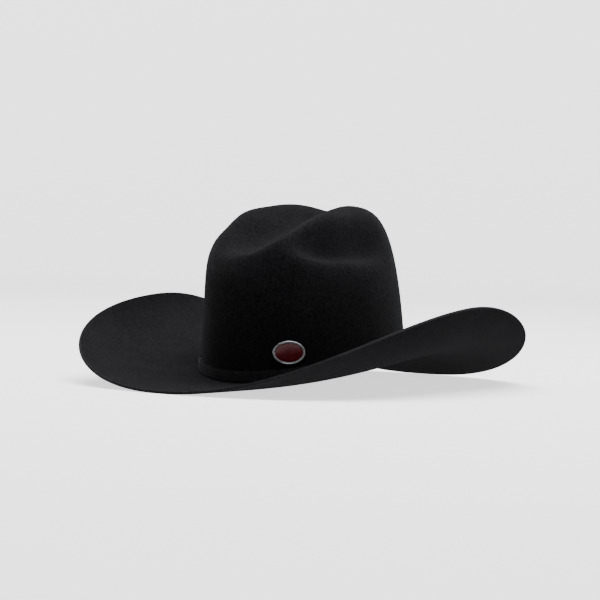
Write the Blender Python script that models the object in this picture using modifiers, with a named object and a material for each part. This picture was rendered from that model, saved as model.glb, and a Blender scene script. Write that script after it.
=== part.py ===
"""Cowboy hat of black fur felt, standing on the two tips of its brim.

Metres. +Z up, -Y the front of the hat, +X the wearer's left.
Angles round the hat run from the front (0) over the wearer's left (pi / 2) to the back (pi).
"""
from math import cos, exp, pi, radians, sin, tau

import bmesh
import bpy
from mathutils import Matrix, Vector

GAP = 0.0003

# Head oval: the outside of the crown where it meets the brim
HALF_LENGTH = 0.1035
HALF_WIDTH = 0.0852
OVAL_EGG = -0.024
BREAK_SIDE_RISE = 0.0090
FLARE = 0.0018
FLARE_HEIGHT = 0.0045

FELT_THICKNESS = 0.0026
COLUMNS = 48
BISECTIONS = 30
SHARE_STEP = 0.004
ANGLE_STEP = 0.01
LAST_SHARE = 0.998
OVAL_SEGMENTS = 32
BORE_SEGMENTS = 24
WIRE_SEGMENTS = 16
POST_SEGMENTS = 12
BEVELLED_FROM = radians(40)
CREASED_FROM = radians(35)

# Brim: its width, and its slope in degrees where it starts and at its edge
BRIM_WIDTH = 0.1021
BRIM_EXTRA_TIPS = 0.0027
BRIM_EXTRA_CORNERS = 0.0068
START_SLOPE = {"front": -1.1, "side": 7.3, "back": -11.6}
EDGE_SLOPE = {"front": -0.7, "side": 74.2, "back": -21.8}
EDGE_SLOPE_CORNER = {"front": 15.0, "back": 3.6}
SLOPE_POWER = 1.87
SIDE_POWER = 2.61
SLOPE_STEPS = 32
FOOT_HEIGHT = 0.0012

# Crown: an oval dome whose wall tapers and whose top falls towards the front and the back
CROWN_HEIGHT = 0.1480
CROWN_TOP_Y = -0.0048
CROWN_FALL = {"front": 0.135, "back": 0.206}
CROWN_TAPER = {"front": -0.249, "side": 0.108, "back": 0.208}
CROWN_TAPER_CORNER = 0.080
CROWN_SQUARENESS = {"front": 10.39, "side": 7.68, "back": 6.57}
CROWN_SQUARENESS_CORNER = 3.33
SHOULDER = 2.27
SHOULDER_FRONT = 0.58
SHOULDER_FADE = 1.5

# Centre crease
CREASE_DEPTH = 0.0305
CREASE_WIDTH = 0.0252
CREASE_TAPER = -0.363
CREASE_POWER = 2.16
CREASE_Y = -0.0385
CREASE_REACH = 0.0754
CREASE_FRONT_DEEPER = 0.526
CREASE_NARROWEST = 0.35
CREASE_STARTS = (0.50, 0.85)

# Side dents
DENT_DEPTH = {"left": 0.0247, "right": 0.0180}
DENT_Y = -0.0337
DENT_Z = 0.1247
DENT_REACH = 0.0521
DENT_HEIGHT = 0.0243
DENT_TILT = 0.022
DENT_POWER = 1.65
DENT_LEAN = radians(65.8)
DENT_FADE = 0.05

# Band: a strap of the same felt, wound round the crown from its buckle and back over itself
BAND_HEIGHT = 0.0092
BAND_THICKNESS = 0.0010
BAND_LIFT = 0.0010
BAND_LIFT_AT_BUCKLE = 0.0032
BAND_CLEARANCE = 0.0005
BUCKLE_ANGLE = radians(97.0)
BAR_RADIUS = 0.0006
EYE_HOLE_RADIUS = 0.0009
EYE_RADIUS = 0.0017
TONGUE_REACH = 0.0360
TIP_LENGTH = 0.0100
TIP_WALL = 0.0010
SHEET_METAL = 0.0005
FRAME_LENGTH = 0.0130
FRAME_BORDER = 0.0015
FRAME_THICKNESS = 0.0011
FRAME_PLAY = 0.0008
METAL_EDGE = 0.0003
PRONG_RADIUS = 0.0005
PRONG_ROOT = 0.0011
PRONG_OVERHANG = 0.0008
PRONG_DROP = 0.0002
PRONG_RISE = (0.001, 0.010)
PRONG_RING = (0.0030, 0.0030)
PRONG_RING_ENDS = (-0.0009, 0.0009)
KEEPER_AT = 0.0160
KEEPER_WIDTH = 0.0040
KEEPER_THICKNESS = 0.0007
KEEPER_CLEARANCE = 0.0008
TACK_RADIUS = 0.00025
TACK_START = ((0.0018, 0.0007), (0.0013, 0.0009), (0.0010, 0.0015))
TACK_ANGLES = {"back": pi, "right": 1.5 * pi, "front_right": radians(322.0)}

# Sweatband and what holds it
SWEATBAND_THICKNESS = 0.0010
SWEATBAND_TOP = 0.0560
SWEATBAND_BOTTOM = 0.0008
SWEATBAND_SPLIT = radians(0.7)
REED_RADIUS = 0.0008
REED_HEIGHT = 0.0024
TAPE_THICKNESS = 0.0004
THREAD_RADIUS = 0.0003
THREAD_HEIGHT = 0.0060
BOW_LENGTH = 0.0160
BOW_HEIGHT = 0.0070
BOW_THICKNESS = 0.0010
TAG_SIZE = (0.0180, 0.0120)
TAG_THICKNESS = 0.0003
TAG_ANGLE = radians(154.0)
TAG_HEIGHT = 0.0360

# Lining
LINING_THICKNESS = 0.0004
PIPING_RADIUS = 0.0010

# Emblem on the crown
EMBLEM_ANGLE = radians(31.0)
EMBLEM_HEIGHT = 0.0240
EMBLEM_SIZE = (0.0280, 0.0200)
EMBLEM_THICKNESS = 0.0014
EMBLEM_RIM = 0.0016
ENAMEL_THICKNESS = 0.0006
POST_RADIUS = 0.0006
POST_SPACING = 0.0070
BACKPLATE_SIZE = (0.0140, 0.0060)
BACKPLATE_THICKNESS = 0.0005
BACKPLATE_AT = -0.0036
POST_ENDS = (-0.0039, 0.0007)
ENAMEL_PROUD = 0.0002

# Finishes: base colour, roughness and, for metals, how metallic they are
FELT = ((0.012, 0.012, 0.013), 0.95)
BAND_FELT = ((0.010, 0.010, 0.011), 0.95)
NICKEL = ((0.62, 0.61, 0.59), 0.25, 1.0)
PEWTER = ((0.42, 0.42, 0.43), 0.35, 1.0)
ENAMEL = ((0.22, 0.012, 0.02), 0.2)
BLACK_THREAD = ((0.01, 0.01, 0.01), 0.7)
WAXED_THREAD = ((0.30, 0.26, 0.20), 0.6)
LEATHER = ((0.035, 0.022, 0.015), 0.5)
REED_PLASTIC = ((0.75, 0.73, 0.68), 0.4)
WOVEN_TAPE = ((0.02, 0.02, 0.02), 0.9)
RIBBON = ((0.015, 0.015, 0.016), 0.5)
TAG_CLOTH = ((0.6, 0.58, 0.54), 0.6)
SATIN = ((0.02, 0.02, 0.022), 0.35)

COLLECTIONS = {}


# --- the felt surface ---------------------------------------------------------------------------

def front_back(values, angle):
    """The front value at angle 0, the back value at pi, and smooth between."""
    weight = 0.5 + 0.5 * cos(angle)
    return values["front"] * weight + values["back"] * (1 - weight)


def round_the_hat(values, angle):
    """As front_back, with the side value at pi / 2 and 3 pi / 2."""
    side = sin(angle) ** 2
    return front_back(values, angle) * (1 - side) + values["side"] * side


def outward(angle):
    """The level direction straight out of the head oval."""
    return Vector((sin(angle) / HALF_WIDTH, -cos(angle) / HALF_LENGTH, 0)).normalized()


def brim_slopes(angle):
    """The brim's slope where it starts and at its edge, in radians."""
    side = abs(sin(angle)) ** SIDE_POWER
    half = "front" if cos(angle) >= 0 else "back"
    start = front_back(START_SLOPE, angle) * (1 - side) + START_SLOPE["side"] * side
    edge = front_back(EDGE_SLOPE, angle) * (1 - side) + EDGE_SLOPE["side"] * side
    edge += EDGE_SLOPE_CORNER[half] * sin(2 * angle) ** 2
    return radians(start), radians(edge)


def brim_width(angle):
    return BRIM_WIDTH + BRIM_EXTRA_TIPS * cos(angle) ** 2 + BRIM_EXTRA_CORNERS * sin(2 * angle) ** 2


def brim_profile(angle, share):
    """How far out and up the brim's top face has come at a share of its width."""
    start, edge = brim_slopes(angle)
    step = brim_width(angle) * share / SLOPE_STEPS
    out = 0.0
    up = 0.0
    for i in range(SLOPE_STEPS):
        slope = start + (edge - start) * (share * (i + 0.5) / SLOPE_STEPS) ** SLOPE_POWER
        out += cos(slope) * step
        up += sin(slope) * step
    return out, up


def tip_level(angle):
    """How far the underside of the brim's tip lies above the start of the brim."""
    return brim_profile(angle, 1.0)[1] - FELT_THICKNESS * cos(brim_slopes(angle)[1])


BREAK_Z = -(tip_level(0) + tip_level(pi)) / 2
BREAK_FRONT_RISE = (tip_level(pi) - tip_level(0)) / 2
OVAL_SHIFT = (brim_profile(0, 1.0)[0] - brim_profile(pi, 1.0)[0]) / 2


def break_point(angle):
    """Where the crown meets the brim."""
    x = HALF_WIDTH * sin(angle) * (1 - OVAL_EGG * cos(angle))
    y = OVAL_SHIFT - HALF_LENGTH * cos(angle)
    z = BREAK_Z + BREAK_SIDE_RISE * sin(angle) ** 2 + BREAK_FRONT_RISE * cos(angle)
    return Vector((x, y, z))


def brim_point(angle, share):
    out, up = brim_profile(angle, share)
    return break_point(angle) + outward(angle) * (FLARE + out) + Vector((0, 0, up))


def smooth_step(value):
    value = min(max(value, 0), 1)
    return value * value * (3 - 2 * value)


def ramp(value, start, end):
    """0 up to the start, 1 from the end on, and smooth between."""
    return smooth_step((value - start) / (end - start))


def dented(point, top):
    """The dome's point after the two side dents and the centre crease."""
    height = point.z - BREAK_Z
    y = point.y - OVAL_SHIFT
    along = (y - DENT_Y) / DENT_REACH
    across = (height - DENT_Z - DENT_TILT * (y - DENT_Y)) / DENT_HEIGHT
    dent = exp(-((along * along) ** DENT_POWER) - across * across)
    dent *= DENT_DEPTH["left" if point.x > 0 else "right"] * smooth_step(abs(point.x) / DENT_FADE)
    side = 1 if point.x > 0 else -1
    point = point - Vector((side * dent * cos(DENT_LEAN), 0, dent * sin(DENT_LEAN)))
    from_middle = (y - CREASE_Y) / CREASE_REACH
    width = CREASE_WIDTH * max(1 + CREASE_TAPER * from_middle, CREASE_NARROWEST)
    crease = exp(-(from_middle ** 4) - (abs(point.x) / width) ** CREASE_POWER)
    crease *= CREASE_DEPTH * max(1 - CREASE_FRONT_DEEPER * from_middle, 0)
    crease *= ramp((point.z - BREAK_Z) / top, *CREASE_STARTS)
    return point - Vector((0, 0, crease))


def crown_shape(angle):
    """The crown's taper, the squareness of its wall and the squareness of its shoulder."""
    corner = sin(2 * angle) ** 2 if cos(angle) > 0 else 0
    taper = round_the_hat(CROWN_TAPER, angle) + CROWN_TAPER_CORNER * corner
    squareness = round_the_hat(CROWN_SQUARENESS, angle) + CROWN_SQUARENESS_CORNER * corner
    shoulder = SHOULDER + SHOULDER_FRONT * (0.5 + 0.5 * cos(angle)) ** SHOULDER_FADE
    return taper, squareness, shoulder


def crown_point(angle, share):
    """The crown's outside, from the break (share 0) to the middle of its top (share 1)."""
    base = break_point(angle)
    turn = share * pi / 2
    taper, squareness, shoulder = crown_shape(angle)
    rise = sin(turn) ** (2 / shoulder)
    spread = (1 - taper * rise) * max(cos(turn), 0) ** (2 / squareness)
    x = base.x * spread
    y = (base.y - OVAL_SHIFT) * spread
    half = "front" if y < CROWN_TOP_Y else "back"
    top = CROWN_HEIGHT * (1 - CROWN_FALL[half] * ((y - CROWN_TOP_Y) / HALF_LENGTH) ** 2)
    height = (base.z - BREAK_Z) * (1 - rise) + top * rise
    point = dented(Vector((x, OVAL_SHIFT + y, BREAK_Z + height)), top)
    return point + outward(angle) * FLARE * exp(-(point.z - base.z) / FLARE_HEIGHT)


def crown_directions(angle, share):
    """The crown's outward normal and its steepest way up at a place."""
    up = crown_point(angle, share + SHARE_STEP / 2) - crown_point(angle, share - SHARE_STEP / 2)
    around = crown_point(angle + ANGLE_STEP, share) - crown_point(angle - ANGLE_STEP, share)
    return around.cross(up).normalized(), up.normalized()


def wall_frame(angle, height):
    """A place on the crown's outside at a height over the break: point, outward, up the wall."""
    low = 0.0
    high = 0.5
    target = break_point(angle).z + height
    for _ in range(BISECTIONS):
        middle = (low + high) / 2
        if crown_point(angle, middle).z < target:
            low = middle
        else:
            high = middle
    share = max((low + high) / 2, SHARE_STEP)
    out, up = crown_directions(angle, share)
    return crown_point(angle, (low + high) / 2), out, up


def wall_point(angle, height, offset):
    """A point beside the crown's wall; a negative offset is inside the crown."""
    point, out, _ = wall_frame(angle, height)
    level = Vector((out.x, out.y, 0)).normalized()
    return point + level * offset


def dome_point(angle, share, offset):
    """A point beside the crown anywhere up to the middle of its top."""
    share = min(share, LAST_SHARE)
    return crown_point(angle, share) + crown_directions(angle, share)[0] * offset


def ring_angles():
    return [tau * i / COLUMNS for i in range(COLUMNS)]


# --- making objects -----------------------------------------------------------------------------

def material(name, color, roughness, metallic=0.0):
    made = bpy.data.materials.new(name)
    made.use_nodes = True
    shader = made.node_tree.nodes["Principled BSDF"]
    shader.inputs["Base Color"].default_value = (*color, 1)
    shader.inputs["Roughness"].default_value = roughness
    shader.inputs["Metallic"].default_value = metallic
    return made


def add_object(name, data, finish=None, collection="cowboy_hat"):
    made = bpy.data.objects.new(name, data)
    COLLECTIONS[collection].objects.link(made)
    if finish:
        data.materials.append(material(name, *finish))
    return made


def mesh_from(name, build):
    """A mesh filled by a function that takes an empty bmesh."""
    mesh = bpy.data.meshes.new(name)
    shape = bmesh.new()
    build(shape)
    shape.to_mesh(mesh)
    shape.free()
    return mesh


def baked(made):
    """The object as a plain mesh with its modifiers applied and its curve caps welded."""
    graph = bpy.context.evaluated_depsgraph_get()
    mesh = bpy.data.meshes.new_from_object(made.evaluated_get(graph))
    shape = bmesh.new()
    shape.from_mesh(mesh)
    bmesh.ops.remove_doubles(shape, verts=shape.verts, dist=1e-6)
    shape.to_mesh(mesh)
    shape.free()
    name = made.name
    collection = made.users_collection[0]
    place = made.matrix_world.copy()
    bpy.data.objects.remove(made)
    solid = bpy.data.objects.new(name, mesh)
    solid.matrix_world = place
    collection.objects.link(solid)
    return solid


def grid_faces(shape, rows, closed):
    """Faces between rows of points; a row of one point is a pole."""
    verts = [[shape.verts.new(point) for point in row] for row in rows]
    for lower, upper in zip(verts, verts[1:]):
        count = len(lower)
        for i in range(count if closed else count - 1):
            j = (i + 1) % count
            if len(upper) == 1:
                shape.faces.new((lower[i], lower[j], upper[0]))
            else:
                shape.faces.new((lower[i], lower[j], upper[j], upper[i]))


def shell(name, rows, thickness, finish, closed=True, inward=True):
    """A sheet through rows of points, thickened to its inner or its outer side."""
    made = add_object(name, mesh_from(name, lambda shape: grid_faces(shape, rows, closed)), finish)
    solidify = made.modifiers.new("thickness", "SOLIDIFY")
    solidify.thickness = thickness
    solidify.offset = -1 if inward else 1
    solidify.use_even_offset = True
    return made


def tube(name, points, radius, finish, closed=False, sides=2):
    curve = bpy.data.curves.new(name, "CURVE")
    curve.dimensions = "3D"
    curve.bevel_depth = radius
    curve.bevel_resolution = sides
    curve.use_fill_caps = True
    spline = curve.splines.new("POLY")
    spline.points.add(len(points) - 1)
    for slot, point in zip(spline.points, points):
        slot.co = (*point, 1)
    spline.use_cyclic_u = closed
    return add_object(name, curve, finish)


def place(origin, along, up):
    """A frame at a point: x along the wall, y up the wall, z out of it."""
    out = along.cross(up).normalized()
    up = out.cross(along).normalized()
    turn = Matrix((along.normalized(), up, out)).transposed().to_4x4()
    return Matrix.Translation(origin) @ turn


def wall_place(angle, height, offset):
    """A frame beside the crown's wall: x towards greater angles, y up, z outward."""
    _, out, up = wall_frame(angle, height)
    along = up.cross(out)
    return place(wall_point(angle, height, offset), along, up)


def oval(shape, size, low, high, segments=OVAL_SEGMENTS):
    """A straight-sided oval between two heights along z."""
    depth = high - low
    lift = Matrix.Translation((0, 0, (low + high) / 2))
    stretch = Matrix.Diagonal((size[0] / 2, size[1] / 2, 1, 1))
    bmesh.ops.create_cone(shape, cap_ends=True, segments=segments, radius1=1, radius2=1, depth=depth,
                          matrix=lift @ stretch)


def block(shape, size, center):
    stretch = Matrix.Diagonal((*size, 1))
    bmesh.ops.create_cube(shape, size=1, matrix=Matrix.Translation(center) @ stretch)


def cutter(name, build, matrix):
    made = add_object(name, mesh_from(name, build), collection="cutters")
    made.matrix_world = matrix
    made.hide_render = True
    made.display_type = "WIRE"
    return made


def boolean(made, other, operation="DIFFERENCE"):
    modifier = made.modifiers.new(operation.lower(), "BOOLEAN")
    modifier.operation = operation
    modifier.solver = "EXACT"
    modifier.object = other


def bevel(made, width, segments=2):
    modifier = made.modifiers.new("edges", "BEVEL")
    modifier.width = width
    modifier.segments = segments
    modifier.limit_method = "ANGLE"
    modifier.angle_limit = BEVELLED_FROM


def shade_round(made):
    if made.type == "MESH":
        made.data.shade_smooth()
        made.data.set_sharp_from_angle(angle=CREASED_FROM)


# --- hat body -----------------------------------------------------------------------------------

BRIM_SHARES = (1.0, 0.985, 0.93, 0.82, 0.68, 0.52, 0.36, 0.2, 0.08)
CROWN_ROWS = 20
LOW_CROWDING = 2.2
HIGH_CROWDING = 2.4
POST_HOLE = (-0.008, 0.004)
POST_HOLE_SIZE = (3 * POST_RADIUS, 3 * POST_RADIUS)


def crown_share(step):
    """Even steps of 0 to 1 up the crown as shares of its formula, which is steep at both ends."""
    rising = step ** LOW_CROWDING
    return rising / (rising + (1 - step) ** HIGH_CROWDING)


def felt_body():
    angles = ring_angles()
    rows = [[brim_point(angle, share) for angle in angles] for share in BRIM_SHARES]
    for i in range(CROWN_ROWS):
        share = crown_share(i / CROWN_ROWS)
        rows.append([crown_point(angle, share) for angle in angles])
    rows.append([crown_point(0, 1)])
    body = shell("felt_body", rows, FELT_THICKNESS, FELT)
    for side in (-1, 1):
        hole = cutter(
            "post_hole",
            lambda shape: oval(shape, POST_HOLE_SIZE, *POST_HOLE, POST_SEGMENTS),
            emblem_place() @ Matrix.Translation((side * POST_SPACING / 2, 0, 0)),
        )
        boolean(body, hole)
    body = baked(body)
    for vert in body.data.vertices:
        if vert.co.z < FOOT_HEIGHT:
            vert.co.z = 0
    shade_round(body)


# --- band and buckle ----------------------------------------------------------------------------

EYE_OFFSET = BAND_CLEARANCE + EYE_RADIUS
KEEPER_INSIDE = KEEPER_CLEARANCE + KEEPER_THICKNESS + GAP
TONGUE_OFFSET = KEEPER_INSIDE + BAND_THICKNESS + GAP
TONGUE_OVER_EYE = EYE_OFFSET + EYE_RADIUS + GAP
LIFTED_FROM = 0.1
LIFTED_REACH = 0.55
STEP_OUT = (0.004, 0.009)
STEP_IN = (0.022, 0.027)
CLIMB = (-0.011, -0.003)
SETTLE = (0.003, 0.009)
STRAP_START = 0.6 * EYE_RADIUS
DENSE_START = 0.030
DENSE_END = 0.016
STRAP_STEPS = (16, 60, 32)
PRONG_STEPS = 8
NEAR = 0.001
PRONG_SLOT = (0.0045, 0.0024, 0.0036)
PRONG_SLOT_AT = (-0.0004, 0, 0)
PRONG_HOLE = (0.0110, 0.0019, 0.0080)
PRONG_HOLE_AT = (-0.0050, 0, 0.0016)
THROUGH = 0.01


def band_lift(angle):
    """The height of the band's lower edge over the break."""
    beside = (angle - BUCKLE_ANGLE - LIFTED_FROM + pi) % tau - pi
    return BAND_LIFT + (BAND_LIFT_AT_BUCKLE - BAND_LIFT) * exp(-((beside / LIFTED_REACH) ** 4))


def band_point(reach, share, layer_offset):
    """A point of the band, reach metres past the buckle's bar and at a share of its height."""
    angle = BUCKLE_ANGLE + reach / HALF_LENGTH
    return wall_point(angle, band_lift(angle) + BAND_HEIGHT * share, layer_offset)


def start_offset(reach):
    """The start of the strap, which steps out to let the keeper pass under it."""
    lifted = ramp(reach, *STEP_OUT) - ramp(reach, *STEP_IN)
    return BAND_CLEARANCE + (KEEPER_INSIDE - BAND_CLEARANCE) * lifted


def tongue_offset(reach):
    """The end of the strap, which climbs over the eye and then lies on the strap's start."""
    climb = ramp(reach, *CLIMB)
    settle = ramp(reach, *SETTLE)
    over_eye = TONGUE_OVER_EYE + (TONGUE_OFFSET - TONGUE_OVER_EYE) * settle
    return BAND_CLEARANCE * (1 - climb) + over_eye * climb


def spread_out(start, end, count):
    return [start + (end - start) * i / count for i in range(count)]


def band_place(reach, offset):
    """A frame at the band's middle height, reach metres past the bar, square to the strap there."""
    low = band_point(reach, 0, offset)
    high = band_point(reach, 1, offset)
    along = band_point(reach + NEAR, 0.5, offset) - band_point(reach - NEAR, 0.5, offset)
    return place((low + high) / 2, along, high - low)


def buckle_place():
    """The bar's axis is this frame's y axis; its x axis is square to the middle of the frame."""
    middle = band_place(-FRAME_LENGTH / 2, EYE_OFFSET)
    return middle @ Matrix.Translation((FRAME_LENGTH / 2, 0, 0))


def hatband_strap():
    turn = tau * HALF_LENGTH
    stops = (STRAP_START, DENSE_START, turn - DENSE_END, turn + TONGUE_REACH)
    reaches = [stops[-1]]
    for start, end, count in zip(stops, stops[1:], STRAP_STEPS):
        reaches += spread_out(start, end, count)
    reaches.sort()
    rows = [[], []]
    for reach in reaches:
        offset = start_offset(reach) if reach < turn / 2 else tongue_offset(reach - turn)
        for share in (0, 1):
            rows[share].append(band_point(reach, share, offset))
    strap = shell("hatband_strap", rows, BAND_THICKNESS, BAND_FELT, False, False)
    upright = Matrix.Rotation(pi / 2, 4, "X")
    half = BAND_HEIGHT / 2
    eye = cutter("strap_eye", lambda shape: oval(shape, (2 * EYE_RADIUS,) * 2, -half, half, BORE_SEGMENTS),
                 buckle_place() @ upright)
    bore_size = (2 * EYE_HOLE_RADIUS,) * 2
    bore = cutter("strap_bore", lambda shape: oval(shape, bore_size, -THROUGH, THROUGH, BORE_SEGMENTS),
                  buckle_place() @ upright)
    slot = cutter("prong_slot", lambda shape: block(shape, PRONG_SLOT, PRONG_SLOT_AT), buckle_place())
    hole = cutter("prong_hole", lambda shape: block(shape, PRONG_HOLE, PRONG_HOLE_AT), buckle_place())
    boolean(strap, eye, "UNION")
    for cut in (bore, slot, hole):
        boolean(strap, cut)
    shade_round(strap)


def hatband_buckle_frame():
    """Three sides of sheet metal with a round bar across their open end."""
    opening = BAND_HEIGHT + FRAME_PLAY
    size = (FRAME_LENGTH + 2 * BAR_RADIUS, opening + 2 * FRAME_BORDER, FRAME_THICKNESS)
    middle = (2 * BAR_RADIUS - FRAME_LENGTH) / 2
    outline = mesh_from("frame", lambda shape: block(shape, size, (middle, 0, 0)))
    frame = add_object("hatband_buckle_frame", outline, NICKEL)
    frame.matrix_world = buckle_place()
    inside = (size[0], opening, THROUGH)
    boolean(frame, cutter("frame_opening", lambda shape: block(shape, inside, (middle + FRAME_BORDER, 0, 0)),
                          buckle_place()))
    end = (opening + FRAME_BORDER) / 2
    bar = cutter("frame_bar", lambda shape: oval(shape, (2 * BAR_RADIUS,) * 2, -end, end, WIRE_SEGMENTS),
                 buckle_place() @ Matrix.Rotation(pi / 2, 4, "X"))
    boolean(frame, bar, "UNION")
    bevel(frame, METAL_EDGE)


def hatband_buckle_prong():
    """A wire that turns on the bar with its ring and rests on the frame's far side."""
    reach = FRAME_LENGTH + PRONG_OVERHANG
    rest = FRAME_THICKNESS / 2 + GAP + PRONG_RADIUS
    points = []
    for x in spread_out(PRONG_ROOT, reach, PRONG_STEPS) + [reach]:
        points.append(Vector((-x, 0, PRONG_DROP + rest * ramp(x, *PRONG_RISE))))
    prong = baked(tube("hatband_buckle_prong", points, PRONG_RADIUS, NICKEL, sides=3))
    prong.matrix_world = buckle_place()
    upright = buckle_place() @ Matrix.Rotation(pi / 2, 4, "X")
    ring = cutter("prong_ring", lambda shape: oval(shape, PRONG_RING, *PRONG_RING_ENDS, BORE_SEGMENTS),
                  upright)
    bore_size = (2 * EYE_HOLE_RADIUS,) * 2
    bore = cutter("prong_bore", lambda shape: oval(shape, bore_size, -THROUGH, THROUGH, BORE_SEGMENTS),
                  upright)
    boolean(prong, ring, "UNION")
    boolean(prong, bore)
    shade_round(prong)


def hatband_keeper():
    inside = 2 * BAND_THICKNESS + 3 * GAP
    opening = (THROUGH, BAND_HEIGHT + 4 * GAP, inside)
    size = (KEEPER_WIDTH, opening[1] + 2 * KEEPER_THICKNESS, inside + 2 * KEEPER_THICKNESS)
    at = band_place(KEEPER_AT, KEEPER_INSIDE - GAP + inside / 2)
    loop = mesh_from("keeper", lambda shape: block(shape, size, (0, 0, 0)))
    keeper = add_object("hatband_keeper", loop, NICKEL)
    keeper.matrix_world = at
    boolean(keeper, cutter("keeper_opening", lambda shape: block(shape, opening, (0, 0, 0)), at))
    bevel(keeper, METAL_EDGE)


def hatband_tip():
    pocket = (TIP_LENGTH + TIP_WALL, BAND_HEIGHT + 3 * GAP, BAND_THICKNESS + 3 * GAP)
    size = (TIP_LENGTH, pocket[1] + 2 * SHEET_METAL, pocket[2] + 2 * SHEET_METAL)
    at = band_place(TONGUE_REACH + TIP_WALL - TIP_LENGTH / 2, TONGUE_OFFSET + BAND_THICKNESS / 2)
    cap = mesh_from("tip", lambda shape: block(shape, size, (0, 0, 0)))
    tip = add_object("hatband_tip", cap, NICKEL)
    tip.matrix_world = at
    shift = (-TIP_WALL - SHEET_METAL / 2, 0, 0)
    boolean(tip, cutter("tip_pocket", lambda shape: block(shape, pocket, shift), at))
    bevel(tip, SHEET_METAL / 2)


def band_tacks():
    """Thread loops over the band's upper edge that hold it to the crown."""
    over = BAND_CLEARANCE + BAND_THICKNESS + 2 * GAP + TACK_RADIUS
    for name, angle in TACK_ANGLES.items():
        top = band_lift(angle) + BAND_HEIGHT
        route = (*TACK_START, (0.0004, over), (-0.0018, over))
        points = [wall_point(angle, top + height, offset) for height, offset in route]
        tube("band_tack_" + name, points, TACK_RADIUS, BLACK_THREAD)


# --- sweatband ----------------------------------------------------------------------------------

SWEATBAND_INSET = 0.0044
SWEATBAND_FOOT_INSET = 0.0067
TAPE_INSET = 0.0048
TAPE_BEND = 0.0013
TAPE_TOP = 0.0110
TAPE_HEM = 0.0050
LEATHER_FREE = (0.009, 0.019)
LEATHER_HEIGHTS = (0.009, 0.0125, 0.016, 0.020)
BOW_AT = (0.0128, -0.0096)
BOW_NOTCH = (0.0050, 0.0045)
BOW_NARROW_SIDE = 0.75
TAPE_FOLD_STEPS = 4
TAG_STEPS = 6


def sweatband_inset(height):
    """How far inside the crown's outer face the leather's outer face lies."""
    free = ramp(height, *LEATHER_FREE)
    return SWEATBAND_FOOT_INSET + (SWEATBAND_INSET - SWEATBAND_FOOT_INSET) * free


def split_ring_angles(split, count=COLUMNS):
    """Angles round the hat from just past the back to just before it."""
    return [pi + split + (tau - 2 * split) * i / count for i in range(count + 1)]


def inner_point(angle, height, inset):
    """A point inside the crown; its foot goes straight down, without the felt's flare."""
    point = wall_point(angle, max(height, THREAD_HEIGHT), -inset)
    point.z = break_point(angle).z + height
    return point


def inner_rows(angles, heights):
    """Rows of points that follow the sweatband's outer face."""
    return [[inner_point(angle, height, sweatband_inset(height)) for angle in angles] for height in heights]


def sweatband():
    heights = (SWEATBAND_BOTTOM, *LEATHER_HEIGHTS, SWEATBAND_TOP)
    rows = inner_rows(split_ring_angles(SWEATBAND_SPLIT), heights)
    shell("sweatband", rows, SWEATBAND_THICKNESS, LEATHER, closed=False)


def sweatband_reed():
    points = [inner_point(angle, REED_HEIGHT, TAPE_INSET) for angle in split_ring_angles(SWEATBAND_SPLIT)]
    tube("sweatband_reed", points, REED_RADIUS, REED_PLASTIC)


def reed_tape():
    """A woven tape folded under the reed, with its long leg against the felt."""
    bends = spread_out(0, pi, TAPE_FOLD_STEPS) + [pi]
    profile = [(TAPE_INSET - TAPE_BEND, TAPE_TOP)]
    profile += [(TAPE_INSET - TAPE_BEND * cos(turn), REED_HEIGHT - TAPE_BEND * sin(turn)) for turn in bends]
    profile.append((TAPE_INSET + TAPE_BEND, TAPE_HEM))
    rows = [[inner_point(angle, height, inset) for angle in ring_angles()] for inset, height in profile]
    tape = shell("reed_tape", rows, TAPE_THICKNESS, WOVEN_TAPE)
    tape.modifiers["thickness"].offset = 0


def sweatband_thread():
    inset = sweatband_inset(THREAD_HEIGHT) + SWEATBAND_THICKNESS + 3 * GAP + THREAD_RADIUS
    points = [inner_point(angle, THREAD_HEIGHT, inset) for angle in split_ring_angles(SWEATBAND_SPLIT)]
    tube("sweatband_thread", points, THREAD_RADIUS, WAXED_THREAD, sides=0)


def sweatband_bow():
    """The ribbon bow that closes the sweatband's split at the back."""
    at = wall_place(pi, *BOW_AT)

    def outline(shape):
        block(shape, (BOW_LENGTH, BOW_HEIGHT, BOW_THICKNESS), (0, 0, 0))
        for vert in shape.verts:
            vert.co.y *= BOW_NARROW_SIDE if vert.co.x < 0 else 1

    bow = add_object("sweatband_bow", mesh_from("bow", outline), RIBBON)
    bow.matrix_world = at
    for side in (-1, 1):
        notch = cutter("bow_notch", lambda shape: oval(shape, BOW_NOTCH, -THROUGH, THROUGH, WIRE_SEGMENTS),
                       at @ Matrix.Translation((0, side * BOW_HEIGHT / 2, 0)))
        boolean(bow, notch)
    bevel(bow, BOW_THICKNESS / 5)


def size_tag():
    """A blank tag on the sweatband's inner face, beside the split."""
    spread = TAG_SIZE[0] / 2 / HALF_LENGTH
    angles = spread_out(TAG_ANGLE - spread, TAG_ANGLE + spread, TAG_STEPS) + [TAG_ANGLE + spread]
    inset = SWEATBAND_INSET + SWEATBAND_THICKNESS + 4 * GAP
    rows = [[wall_point(angle, height, -inset) for angle in angles]
            for height in (TAG_HEIGHT, TAG_HEIGHT + TAG_SIZE[1])]
    shell("size_tag", rows, TAG_THICKNESS, TAG_CLOTH, closed=False)


# --- lining -------------------------------------------------------------------------------------

LINING_TUCK_OFFSET = 0.0031
LINING_FREE_OFFSET = 0.0048
LINING_FREE = (0.060, 0.072)
LINING_TUCK_ROW = 5
LINING_SEAM_ROW = 15
LINING_OPENING = 0.1


def lining_point(angle, row):
    """The lining's upper face on a row of the crown: tucked behind the leather, free above it."""
    share = crown_share(row / CROWN_ROWS)
    free = ramp(crown_point(angle, share).z - break_point(angle).z, *LINING_FREE)
    offset = LINING_TUCK_OFFSET + (LINING_FREE_OFFSET - LINING_TUCK_OFFSET) * free
    return dome_point(angle, share, -offset)


def lining_rows(rows):
    return [[lining_point(angle, row) for angle in ring_angles()] for row in rows]


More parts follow.
